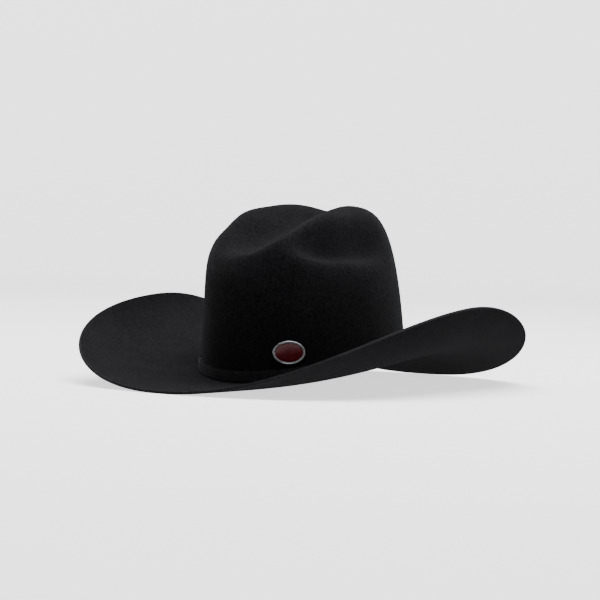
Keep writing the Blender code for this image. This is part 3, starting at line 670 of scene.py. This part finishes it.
def felt_body():
    outer, inner, normals = body_surfaces()
    outwards = unit(outer[0] - outer[1])
    rim = []
    for turn in np.linspace(pi / 2, -pi / 2, 9)[1:-1]:
        reach = EDGE_ROUND * np.cos(turn) ** 0.5
        height = (0.5 - 0.5 * np.sign(np.sin(turn)) * np.abs(np.sin(turn)) ** 0.6) * FELT_THICKNESS
        rim.append(outer[0] + outwards * reach - normals[0] * height)
    rim = np.array(rim)
    rim[..., 2] = np.maximum(rim[..., 2], 0)
    points = np.concatenate([outer[::-1], rim, inner])
    body = grid_mesh("felt_hat_body", points, closed_rows=True, first_pole=True, last_pole=True)
    add_piece(body, FELT, replaces=["felt_body"])
    # the brim's cut edge gets the lighter felt copy, a painted highlight
    body.data.materials.append(EDGE_HIGHLIGHT_FELT)
    first = (len(outer) - 1) * BODY_COLUMNS
    last = (len(outer) + len(rim)) * BODY_COLUMNS
    for face in body.data.polygons[first:last]:
        face.material_index = 1


# --- band ---

EYE_CENTRE = BAND_CLEARANCE + EYE_RADIUS
EYE_PATH_RADIUS = (EYE_RADIUS + EYE_HOLE_RADIUS) / 2
TONGUE_OFFSET = KEEPER_INSIDE + BAND_THICKNESS + GAP
TONGUE_OVER_EYE = EYE_CENTRE + EYE_RADIUS + GAP
EYE_BEND = (radians(10), radians(262))
STRAP_START = 0.0004
STRAP_UNDER_TONGUE = 0.03
STRAP_BEFORE_BUCKLE = 0.016
STRAP_ROUNDING = 0.00035
FLAT_FACES = (3, 11)  # of each section's 16, its outer and inner sides; the rest are its cut edges
TACK_HEIGHTS = (0.0018, 0.0013, 0.0010, 0.0004, -0.0008, -0.0018)
TACK_OFFSETS = (0.0007, 0.0009, 0.0015)


def band_lift(angle):
    beside = (angle - BUCKLE_ANGLE - LIFTED_FROM + pi) % tau - pi
    return BAND_LIFT + (BAND_LIFT_AT_BUCKLE - BAND_LIFT) * np.exp(-((beside / LIFTED_REACH) ** 4))


def start_offset(reach):
    lifted = ramp(reach, *STEP_OUT) - ramp(reach, *STEP_IN)
    return BAND_CLEARANCE + (KEEPER_INSIDE - BAND_CLEARANCE) * lifted


def tongue_offset(reach):
    climb = ramp(reach, *CLIMB)
    settle = ramp(reach, *SETTLE)
    over = TONGUE_OVER_EYE + (TONGUE_OFFSET - TONGUE_OVER_EYE) * settle
    return BAND_CLEARANCE * (1 - climb) + over * climb


def band_strap():
    """The felt strap: rolled into an eye round the bar, once round the crown, and over itself."""
    full_turn = tau * HALF_LENGTH
    tongue_start = full_turn - STRAP_BEFORE_BUCKLE
    reach = np.concatenate([np.linspace(STRAP_START, STRAP_UNDER_TONGUE, 60),
                            np.linspace(STRAP_UNDER_TONGUE, tongue_start, 320)[1:],
                            np.linspace(tongue_start, full_turn + TONGUE_REACH, 110)[1:]])
    offset = np.where(reach < full_turn / 2, start_offset(reach), tongue_offset(reach - full_turn))
    thickness = np.full(reach.shape, BAND_THICKNESS)
    middle = offset + thickness / 2
    bend = np.linspace(*EYE_BEND, 28)
    reach = np.concatenate([EYE_PATH_RADIUS * np.cos(bend), reach])
    middle = np.concatenate([EYE_CENTRE + EYE_PATH_RADIUS * np.sin(bend), middle])
    thickness = np.concatenate([np.full(bend.shape, EYE_RADIUS - EYE_HOLE_RADIUS), thickness])
    forward = np.gradient(reach)
    rising = np.gradient(middle)
    length = np.hypot(forward, rising)
    sections = []
    heights, flat = strip_section(0.0, BAND_HEIGHT, -BAND_THICKNESS / 2, BAND_THICKNESS / 2,
                                  STRAP_ROUNDING)
    for i in range(len(reach)):
        local = flat * thickness[i] / BAND_THICKNESS
        at = reach[i] - local * rising[i] / length[i]
        out = middle[i] + local * forward[i] / length[i]
        angle = BUCKLE_ANGLE + at / HALF_LENGTH
        sections.append(wall_point(angle, band_lift(angle) + heights, out))
    strap = grid_mesh("felt_band_strap", np.array(sections), closed_rows=True, first_pole=True,
                      last_pole=True)
    # the strap's sides get the lighter band felt (painted light against the brim's shade), its cut edges the
    # felt copy with a painted highlight
    add_piece(strap, BAND_FELT_PAINTED_LIGHT, replaces=["hatband_strap"])
    strap.data.materials.append(EDGE_HIGHLIGHT_FELT)
    around = len(heights)
    for face in strap.data.polygons[:around * (len(reach) - 1)]:
        face.material_index = int(face.index % around not in FLAT_FACES)


def band_tack(name, angle):
    """A loop of twisted thread over the band's upper edge."""
    over = BAND_CLEARANCE + BAND_THICKNESS + 2 * GAP + TACK_RADIUS
    top = band_lift(angle) + BAND_HEIGHT
    offsets = (*TACK_OFFSETS, over, over, over)
    knots = range(len(TACK_HEIGHTS))
    steps = np.linspace(0, len(TACK_HEIGHTS) - 1, 40)
    path = wall_point(angle, top + np.interp(steps, knots, TACK_HEIGHTS), np.interp(steps, knots, offsets))
    twist = TACK_RADIUS * (1 + 0.18 * np.sin(steps * 9))
    return tube_mesh("band_thread_" + name, path, twist, sides=8)


# --- buckle set ---

SHARP_EDGE = radians(35)


def rounded_copy(node, name, finish, body="hat", width=0.00018):
    """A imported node's solid with its sharp edges rounded over."""
    source = frame["nodes"][node]
    shape = bmesh.new()
    shape.from_mesh(source.data)
    shape.transform(source.matrix_world)
    bmesh.ops.remove_doubles(shape, verts=shape.verts, dist=1e-6)
    sharp = [edge for edge in shape.edges
             if len(edge.link_faces) == 2 and edge.calc_face_angle() > SHARP_EDGE]
    bmesh.ops.bevel(shape, geom=sharp, offset=width, segments=3, profile=0.5, affect="EDGES",
                    clamp_overlap=True)
    mesh = bpy.data.meshes.new(name)
    shape.to_mesh(mesh)
    shape.free()
    mesh.shade_smooth()
    mesh.set_sharp_from_angle(angle=SHARP_EDGE)
    add_piece(new_object(name, mesh), finish, [node], body)


# --- sweatband ---

SWEAT_COLUMNS = 360
STITCH_PITCH = 0.0042
STITCH_LENGTH = 0.0030
STITCH_DIP = 0.0005
STITCH_PROUD = 0.0002
LEATHER_RAISED = 0.0004
LEATHER_WAVY = (0.020, 0.050)


def sweatband_inset(height):
    free = ramp(np.asarray(height, float), *LEATHER_FREE)
    return SWEATBAND_FOOT_INSET + (SWEATBAND_INSET - SWEATBAND_FOOT_INSET) * free


def split_ring(split, count):
    return pi + split + (tau - 2 * split) * np.linspace(0, 1, count)


def inner_strip(name, angles, low, high, inset, thickness, rows):
    """A strip inside the crown that follows an inset by height; thickness goes inwards."""
    heights = np.linspace(low, high, rows)
    rounding = np.linspace(0, pi, 5)[1:-1]
    outer = [(height, 0.0) for height in heights]
    top = [(high + thickness / 2 * np.sin(turn), (1 - np.cos(turn)) / 2) for turn in rounding]
    bottom = [(low - thickness / 2 * np.sin(turn), (1 + np.cos(turn)) / 2) for turn in rounding]
    profile = outer + top + [(height, 1.0) for height in heights[::-1]] + bottom
    sections = []
    for height, side in profile:
        level = np.full(angles.shape, height)
        depth = inset(np.full(angles.shape, min(max(height, low), high)), angles) + thickness * side
        sections.append(inner_point(angles, level, depth))
    return grid_mesh(name, np.array(sections)[::-1], closed_columns=True, caps=True)


def leather_inset(height, angle):
    """The leather's outer face, slightly wavy where it's free."""
    free = ramp(height, *LEATHER_WAVY)
    wave_out = 0.00035 * np.sin(9 * angle + 1.0) + 0.00025 * np.sin(23 * angle)
    return sweatband_inset(height) + free * np.abs(wave_out)


def sweatband():
    angles = split_ring(SWEATBAND_SPLIT, SWEAT_COLUMNS)
    band = inner_strip("leather_sweatband", angles, SWEATBAND_BOTTOM + LEATHER_RAISED,
                       SWEATBAND_TOP - SWEATBAND_THICKNESS / 2, leather_inset, SWEATBAND_THICKNESS, 56)
    add_piece(band, LEATHER, replaces=["sweatband"])


def stitch(angle, height, inset, half, radius):
    """One stitch: a short thread that dips into the leather at both ends."""
    along = np.linspace(-1, 1, 7)
    dip = STITCH_DIP * along ** 4
    path = inner_point(angle + along * half, np.full(7, height), inset - dip)
    return tube_mesh("stitch", path, radius * np.sqrt(np.clip(1.1 - along ** 2, 0.1, 1)), sides=6)


def sweatband_stitches():
    inset = sweatband_inset(THREAD_HEIGHT) + SWEATBAND_THICKNESS + THREAD_RADIUS + STITCH_PROUD
    count = int(tau * HALF_LENGTH / STITCH_PITCH)
    half = STITCH_LENGTH / 2 / HALF_LENGTH
    angles = split_ring(SWEATBAND_SPLIT + 2 * half, count)
    seam = joined("sweatband_stitches", [stitch(angle, THREAD_HEIGHT, inset, half, THREAD_RADIUS)
                                         for angle in angles])
    add_piece(seam, WAXED_THREAD, replaces=["sweatband_thread"])


def sweatband_reed():
    angles = split_ring(SWEATBAND_SPLIT, SWEAT_COLUMNS)
    path = inner_point(angles, np.full(angles.shape, REED_HEIGHT), np.full(angles.shape, TAPE_INSET))
    reed = tube_mesh("reed", path, REED_RADIUS, sides=14)
    add_piece(reed, REED, replaces=["sweatband_reed"])


def reed_tape():
    """The woven tape folded under the reed, a closed sheet of its own thickness."""
    angles = np.arange(SWEAT_COLUMNS) * tau / SWEAT_COLUMNS
    bends = np.linspace(0, pi, 17)
    inset = np.concatenate([[TAPE_INSET - TAPE_BEND] * 6, TAPE_INSET - TAPE_BEND * np.cos(bends),
                            [TAPE_INSET + TAPE_BEND] * 3])
    height = np.concatenate([np.linspace(TAPE_TOP, REED_HEIGHT, 7)[:-1],
                             REED_HEIGHT - TAPE_BEND * np.sin(bends),
                             np.linspace(REED_HEIGHT, TAPE_HEM, 4)[1:]])
    side = np.stack([np.gradient(height), -np.gradient(inset)], -1)
    side = side / np.linalg.norm(side, axis=-1, keepdims=True) * TAPE_THICKNESS / 2
    inset = np.concatenate([inset + side[:, 0], (inset - side[:, 0])[::-1]])
    height = np.concatenate([height + side[:, 1], (height - side[:, 1])[::-1]])
    sections = [inner_point(angles, np.full(angles.shape, h), np.full(angles.shape, i))
                for h, i in zip(height, inset)]
    tape = grid_mesh("woven_reed_tape", np.array(sections), closed_rows=True, closed_columns=True)
    add_piece(tape, TAPE, replaces=["reed_tape"])


def ribbon_mesh(name, path, width_way, width, thickness):
    """A flat ribbon along a path; width_way points across it at each point."""
    tangent = unit(np.gradient(path, axis=0))
    across = unit(width_way - (width_way * tangent).sum(-1, keepdims=True) * tangent)
    face = np.cross(tangent, across)
    section = [(-0.5, 0.35), (-0.5, -0.35), (-0.42, -0.5), (0, -0.5), (0.42, -0.5), (0.5, -0.35),
               (0.5, 0.35), (0.42, 0.5), (0, 0.5), (-0.42, 0.5)]
    width = np.broadcast_to(width, path.shape[:1])
    points = np.stack([path + across * (u * width)[:, None] + face * (v * thickness) for u, v in section], 1)
    return grid_mesh(name, points, closed_rows=True, first_pole=True, last_pole=True)


BOW_HEIGHT = 0.0128
BOW_LOOP_SHARE = 0.94
BOW_LOOP_LIFT = 0.0009
BOW_LOOP_SLOPE = 0.16
BOW_RIBBON = 0.0003
BOW_TAIL = (0.0052, 0.0030, 0.0007)  # how far out, down and inwards it goes
BOW_KNOT = (0.0019, 0.0010)


def sweatband_bow():
    """The tied ribbon bow at the back: two loops, two tails and a knot."""
    low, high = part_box("sweatband_bow")
    centre = np.array((low + high) / 2)
    half = (high.x - low.x) / 2
    _, out, up = (v[0] for v in wall_frame(np.array([pi]), np.array([BOW_HEIGHT])))
    inwards = -out
    side = np.cross(up, inwards)
    parts = []
    for way in (-1, 1):
        turn = np.linspace(0, tau, 40)
        swell = 0.5 - 0.5 * np.cos(turn)
        reach = half * BOW_LOOP_SHARE * swell
        lift = BOW_LOOP_LIFT * np.sin(turn)
        slope = BOW_LOOP_SLOPE * reach
        path = centre + way * side * reach[:, None] + inwards * lift[:, None] + up * slope[:, None]
        parts.append(ribbon_mesh("loop", path, np.broadcast_to(up, path.shape),
                                 0.0034 + 0.0020 * swell, BOW_RIBBON))
        length = np.linspace(0, 1, 16)
        path = centre + (way * side * BOW_TAIL[0] * length[:, None]
                         - up * BOW_TAIL[1] * (length ** 1.3)[:, None]
                         + inwards * (BOW_TAIL[2] * np.sin(length * pi))[:, None])
        across = np.broadcast_to(up + 0.3 * side * way, path.shape)
        parts.append(ribbon_mesh("tail", path, across, 0.0028, BOW_RIBBON))
    turn = np.linspace(0, tau, 25)
    knot = (centre + up * (BOW_KNOT[0] * np.sin(turn))[:, None]
            + inwards * (BOW_KNOT[1] * np.cos(turn))[:, None])
    parts.append(ribbon_mesh("knot", knot, np.broadcast_to(side, knot.shape), 0.0026, BOW_RIBBON))
    bow = joined("ribbon_bow", parts)
    add_piece(bow, RIBBON, replaces=["sweatband_bow"])


TAG_THREAD_RADIUS = 0.00012
TAG_STITCHES = (13, 8)
TAG_THICKNESS = 0.0003
TAG_RIPPLE = 0.00006
TAG_COLUMNS = 36
TAG_ROWS = 24
TAG_SEAM_INSET = 0.0009


def tag_stitch(angles, heights, inset):
    path = wall_point(angles, heights, np.full(5, -inset))
    return tube_mesh("stitch", path, TAG_THREAD_RADIUS, sides=6)


def size_tag():
    """The blank woven tag on the leather, with a sewn border."""
    spread = TAG_SIZE[0] / 2 / HALF_LENGTH
    angles = np.linspace(TAG_ANGLE - spread, TAG_ANGLE + spread, TAG_COLUMNS)
    level = SWEATBAND_INSET + SWEATBAND_THICKNESS + 4 * GAP
    heights = np.linspace(TAG_HEIGHT, TAG_HEIGHT + TAG_SIZE[1], TAG_ROWS)
    inset = level + TAG_RIPPLE * np.sin(np.linspace(0, 40, TAG_COLUMNS))
    outer = [wall_point(angles, h, -inset) for h in heights]
    inner = [wall_point(angles, h, -(inset + TAG_THICKNESS)) for h in heights[::-1]]
    tag = grid_mesh("blank_tag", np.array(outer + inner)[::-1], closed_columns=True, caps=True)
    add_piece(tag, TAG_CLOTH, replaces=["size_tag"])
    surface = level + TAG_THICKNESS + TAG_THREAD_RADIUS
    sewn = []
    for share in np.linspace(-0.86, 0.86, TAG_STITCHES[0]):
        for height in (TAG_HEIGHT + TAG_SEAM_INSET, TAG_HEIGHT + TAG_SIZE[1] - TAG_SEAM_INSET):
            along = share + np.linspace(-0.045, 0.045, 5)
            sewn.append(tag_stitch(TAG_ANGLE + spread * along, height, surface))
    for share in np.linspace(0.12, 0.88, TAG_STITCHES[1]):
        for side in (-0.93, 0.93):
            heights = TAG_HEIGHT + TAG_SIZE[1] * share + np.linspace(-0.0004, 0.0004, 5)
            sewn.append(tag_stitch(TAG_ANGLE + spread * side, heights, surface))
    add_piece(joined("tag_stitches", sewn), BLACK_THREAD)


# --- lining ---

LINING_COLUMNS = 480
LINING_SEAM_STEP = 0.75
LINING_SEAM_GAP = 0.005
LINING_ENDS = (0.25, 0.985)
PLEATS = 34
PLEAT_DEPTH = 0.0005
TIP_PLEATS = 40
TIP_PLEAT_DEPTH = 0.0003


def crown_share(step):
    rising = step ** 2.2
    return rising / (rising + (1 - step) ** 2.4)


def lining_surface(steps, pleat):
    """The lining's upper face on steps up the crown, with gathers near its seam."""
    angle = np.arange(LINING_COLUMNS) * tau / LINING_COLUMNS
    rows = []
    for step in steps:
        share = float(crown_share(step))
        point = crown_point(angle, share)
        free = ramp(point[..., 2] - break_point(angle)[..., 2], *LINING_FREE)
        offset = LINING_TUCK_OFFSET + (LINING_FREE_OFFSET - LINING_TUCK_OFFSET) * free
        offset = offset + pleat(step, angle)
        up = crown_point(angle, share + 0.0008) - crown_point(angle, share - 0.0008)
        around = crown_point(angle + 0.01, share) - crown_point(angle - 0.01, share)
        rows.append(point - unit(np.cross(around, up)) * offset[:, None])
    return np.array(rows)


def side_pleats(step, angle):
    gathered = ramp(step, 0.45, LINING_SEAM_STEP)
    return PLEAT_DEPTH * gathered * (1 - np.cos(PLEATS * angle + 2.0 * np.sin(3 * angle))) / 2


def tip_pleats(step, angle):
    gathered = 1 - ramp(step, LINING_SEAM_STEP, 0.9)
    return TIP_PLEAT_DEPTH * gathered * (1 - np.cos(TIP_PLEATS * angle)) / 2


def lining():
    side = lining_surface(np.linspace(LINING_ENDS[0], LINING_SEAM_STEP - LINING_SEAM_GAP, 60), side_pleats)
    normals = grid_normals(side, True)
    points = np.concatenate([side, (side - normals * LINING_THICKNESS)[::-1]])
    strip = grid_mesh("lining_side_strip", points, closed_rows=True, closed_columns=True)
    add_piece(strip, SATIN, replaces=["lining_side"])
    tip = lining_surface(np.linspace(LINING_SEAM_STEP + LINING_SEAM_GAP, LINING_ENDS[1], 44), tip_pleats)
    normals = grid_normals(tip, True)
    points = np.concatenate([(tip - normals * LINING_THICKNESS)[::-1], tip])
    oval = grid_mesh("lining_crown_tip", points, closed_rows=True, first_pole=True, last_pole=True)
    add_piece(oval, SATIN, replaces=["lining_tip"])
    below = LINING_FREE_OFFSET + LINING_THICKNESS + 2 * GAP + PIPING_RADIUS
    seam = lining_surface([LINING_SEAM_STEP], lambda step, angle: below - LINING_FREE_OFFSET)[0]
    piping = tube_mesh("lining_piping_cord", seam[::2], PIPING_RADIUS, closed=True, sides=12)
    add_piece(piping, SATIN, replaces=["lining_piping"])


# --- emblem ---

BEADS = 72
BEAD_RADIUS = 0.00040
BEAD_INSET = 0.0014
BEAD_SUNK = 0.0003
ENAMEL_INSET = 0.0020
ENAMEL_GAP = 0.0001
ENAMEL_DOME = 0.0005
RIM_ROUND = 0.0005
SETTING_FOOT = (0.0006, 0.0003)  # how far in and how high its chamfered lower edge is


def emblem_frame():
    """The emblem's centre on the wall, its level way round the hat, its way up and its way out."""
    point, out, up = (v[0] for v in wall_frame(np.array([EMBLEM_ANGLE]), np.array([EMBLEM_HEIGHT])))
    return point, unit(np.cross(up, out)), up, out


def turned_oval(name, profile, columns=128):
    """An oval solid from a profile of (inset from the rim, height over the felt), rim first."""
    point, along, up, out = emblem_frame()
    turn = np.arange(columns) * tau / columns
    rows = []
    for inset, height in profile:
        flat = (along * (np.cos(turn) * (EMBLEM_SIZE[0] / 2 - inset))[:, None]
                + up * (np.sin(turn) * (EMBLEM_SIZE[1] / 2 - inset))[:, None])
        rows.append(point + flat + out * height)
    return grid_mesh(name, np.array(rows), closed_rows=True, first_pole=True, last_pole=True)


def emblem():
    """A pewter oval with a rounded rim and a ring of beads round a pool of enamel."""
    top = GAP + EMBLEM_THICKNESS
    floor_level = top - ENAMEL_THICKNESS
    bend = np.linspace(0, pi, 12)
    rim = [(RIM_ROUND - RIM_ROUND * np.cos(turn), top - RIM_ROUND + RIM_ROUND * np.sin(turn))
           for turn in bend]
    foot, chamfer = SETTING_FOOT
    inside = EMBLEM_SIZE[1] / 2 - foot
    base = turned_oval("emblem_setting", [(inside, GAP), (foot, GAP), (0.0, GAP + chamfer), *rim,
                                          (2 * RIM_ROUND, floor_level), (inside, floor_level)])
    point, along, up, out = emblem_frame()
    beads = []
    for turn in np.arange(BEADS) * tau / BEADS:
        centre = (point + along * np.cos(turn) * (EMBLEM_SIZE[0] / 2 - BEAD_INSET)
                  + up * np.sin(turn) * (EMBLEM_SIZE[1] / 2 - BEAD_INSET) + out * (top - BEAD_SUNK))
        across = np.linspace(-1, 1, 7)
        path = centre + out * (across * BEAD_RADIUS)[:, None]
        width = BEAD_RADIUS * np.sqrt(np.clip(1.001 - across ** 2, 0.01, 1))
        beads.append(tube_mesh("bead", path, width, sides=8))
    whole = joined("emblem_setting_beaded", [base, *beads])
    add_piece(whole, PEWTER, replaces=["emblem_base"])
    pool = np.linspace(0, 1, 10)
    reach = EMBLEM_SIZE[1] / 2 - ENAMEL_INSET - ENAMEL_GAP
    dome = [(ENAMEL_INSET + reach * share ** 1.4, top - BEAD_SUNK + ENAMEL_DOME * (1 - (1 - share) ** 2))
            for share in pool]
    enamel = turned_oval("emblem_enamel_pool", [(ENAMEL_INSET + reach, floor_level + ENAMEL_GAP),
                                                (ENAMEL_INSET, floor_level + ENAMEL_GAP), *dome])
    add_piece(enamel, ENAMEL, replaces=["emblem_enamel"])


felt_body()
band_strap()
for tack_name, tack_angle in TACK_ANGLES.items():
    add_piece(band_tack(tack_name, tack_angle), BLACK_THREAD,
              replaces=["band_tack_" + tack_name])
rounded_copy("hatband_buckle_frame", "buckle_frame", NICKEL, "buckle", 0.00030)
rounded_copy("hatband_buckle_prong", "buckle_prong", NICKEL, "prong", 0.00010)
rounded_copy("hatband_keeper", "band_keeper", NICKEL, "keeper")
rounded_copy("hatband_tip", "band_tip", NICKEL)
rounded_copy("emblem_backplate", "emblem_clutch", PEWTER)
sweatband()
sweatband_stitches()
sweatband_reed()
reed_tape()
sweatband_bow()
size_tag()
lining()
emblem()


# --- floor, light and camera ---

FLOOR_GLOW = (1.0, 4.2, 1.30, 2.15)  # two distances from the middle, and the glow at each
SWEEP_FLAT = 3.4
SWEEP_BEND = 0.8
SWEEP_HEIGHT = 1.4
WORLD_STRENGTH = 0.15


def floor():
    """A pale sweep: a level floor that curves up into a backdrop all round."""
    bend = np.linspace(0, pi / 2, 16)[1:]
    radius = np.concatenate([np.linspace(0, SWEEP_FLAT, 12), SWEEP_FLAT + SWEEP_BEND * np.sin(bend),
                             [SWEEP_FLAT + SWEEP_BEND]])
    height = np.concatenate([np.zeros(12), SWEEP_BEND * (1 - np.cos(bend)), [SWEEP_HEIGHT]])
    turn = np.arange(64) * tau / 64
    ring = np.stack([np.sin(turn), -np.cos(turn), 0 * turn], -1)
    points = radius[:, None, None] * ring[None] + height[:, None, None] * np.array([0, 0, 1])
    sweep = grid_mesh("floor_sweep", points[1:], closed_rows=True, first_pole=True)
    made, tree, shader = new_material("floor", (0.30, 0.30, 0.30), 0.9, specular=0.0)
    where = tree.nodes.new("ShaderNodeTexCoord")
    distance = tree.nodes.new("ShaderNodeVectorMath")
    distance.operation = "LENGTH"
    tree.links.new(where.outputs["Object"], distance.inputs[0])
    glow = tree.nodes.new("ShaderNodeMapRange")
    for slot, value in zip(("From Min", "From Max", "To Min", "To Max"), FLOOR_GLOW):
        glow.inputs[slot].default_value = value
    tree.links.new(distance.outputs["Value"], glow.inputs["Value"])
    tree.links.new(glow.outputs["Result"], shader.inputs["Emission Strength"])
    shader.inputs["Emission Color"].default_value = (1, 1, 1, 1)
    sweep.data.materials.append(made)


floor()


CAMERA_AZIMUTH = radians(34.64)
CAMERA_ELEVATION = radians(2.03)
CAMERA_ROLL = radians(1.41)
CAMERA_DISTANCE = 2.0
CAMERA_LENS = 134.2
CAMERA_SHIFT = (0.0005, 0.0143)
CAMERA_TARGET = Vector((0, OVAL_SHIFT - 0.0095, BREAK_Z + 0.05))


def camera():
    back = Vector((np.sin(CAMERA_AZIMUTH) * np.cos(CAMERA_ELEVATION),
                   -np.cos(CAMERA_AZIMUTH) * np.cos(CAMERA_ELEVATION), np.sin(CAMERA_ELEVATION)))
    level = Vector((np.cos(CAMERA_AZIMUTH), np.sin(CAMERA_AZIMUTH), 0))
    upright = back.cross(level)
    right = level * np.cos(CAMERA_ROLL) + upright * np.sin(CAMERA_ROLL)
    up = upright * np.cos(CAMERA_ROLL) - level * np.sin(CAMERA_ROLL)
    data = bpy.data.cameras.new("camera")
    data.lens = CAMERA_LENS
    data.sensor_width = 36
    data.shift_x, data.shift_y = CAMERA_SHIFT
    data.clip_start = 0.05
    data.clip_end = 50
    made = new_object("camera", data)
    made.matrix_world = Matrix.Translation(CAMERA_TARGET + back * CAMERA_DISTANCE) @ Matrix(
        (right, up, back)).transposed().to_4x4()
    bpy.context.scene.camera = made


def softbox(name, place, aim, size, power):
    data = bpy.data.lights.new(name, "AREA")
    data.shape = "RECTANGLE"
    data.size, data.size_y = size
    data.energy = power
    made = new_object(name, data)
    made.location = place
    made.rotation_mode = "QUATERNION"
    made.rotation_quaternion = (Vector(aim) - Vector(place)).to_track_quat("-Z", "Y")


def world():
    made = bpy.data.worlds.new("studio")
    made.use_nodes = True
    background = made.node_tree.nodes["Background"]
    background.inputs["Color"].default_value = (1, 1, 1, 1)
    background.inputs["Strength"].default_value = WORLD_STRENGTH
    bpy.context.scene.world = made


world()
camera()
softbox("overhead", (0.0, 0.3, 2.2), (0, 0, 0.05), (2.6, 2.2), 430)
softbox("left_back", (-1.9, 0.6, 1.1), (0, 0, 0.1), (1.2, 1.2), 6)
softbox("right_back", (1.6, 1.6, 1.0), (0, 0, 0.1), (1.0, 1.2), 6)
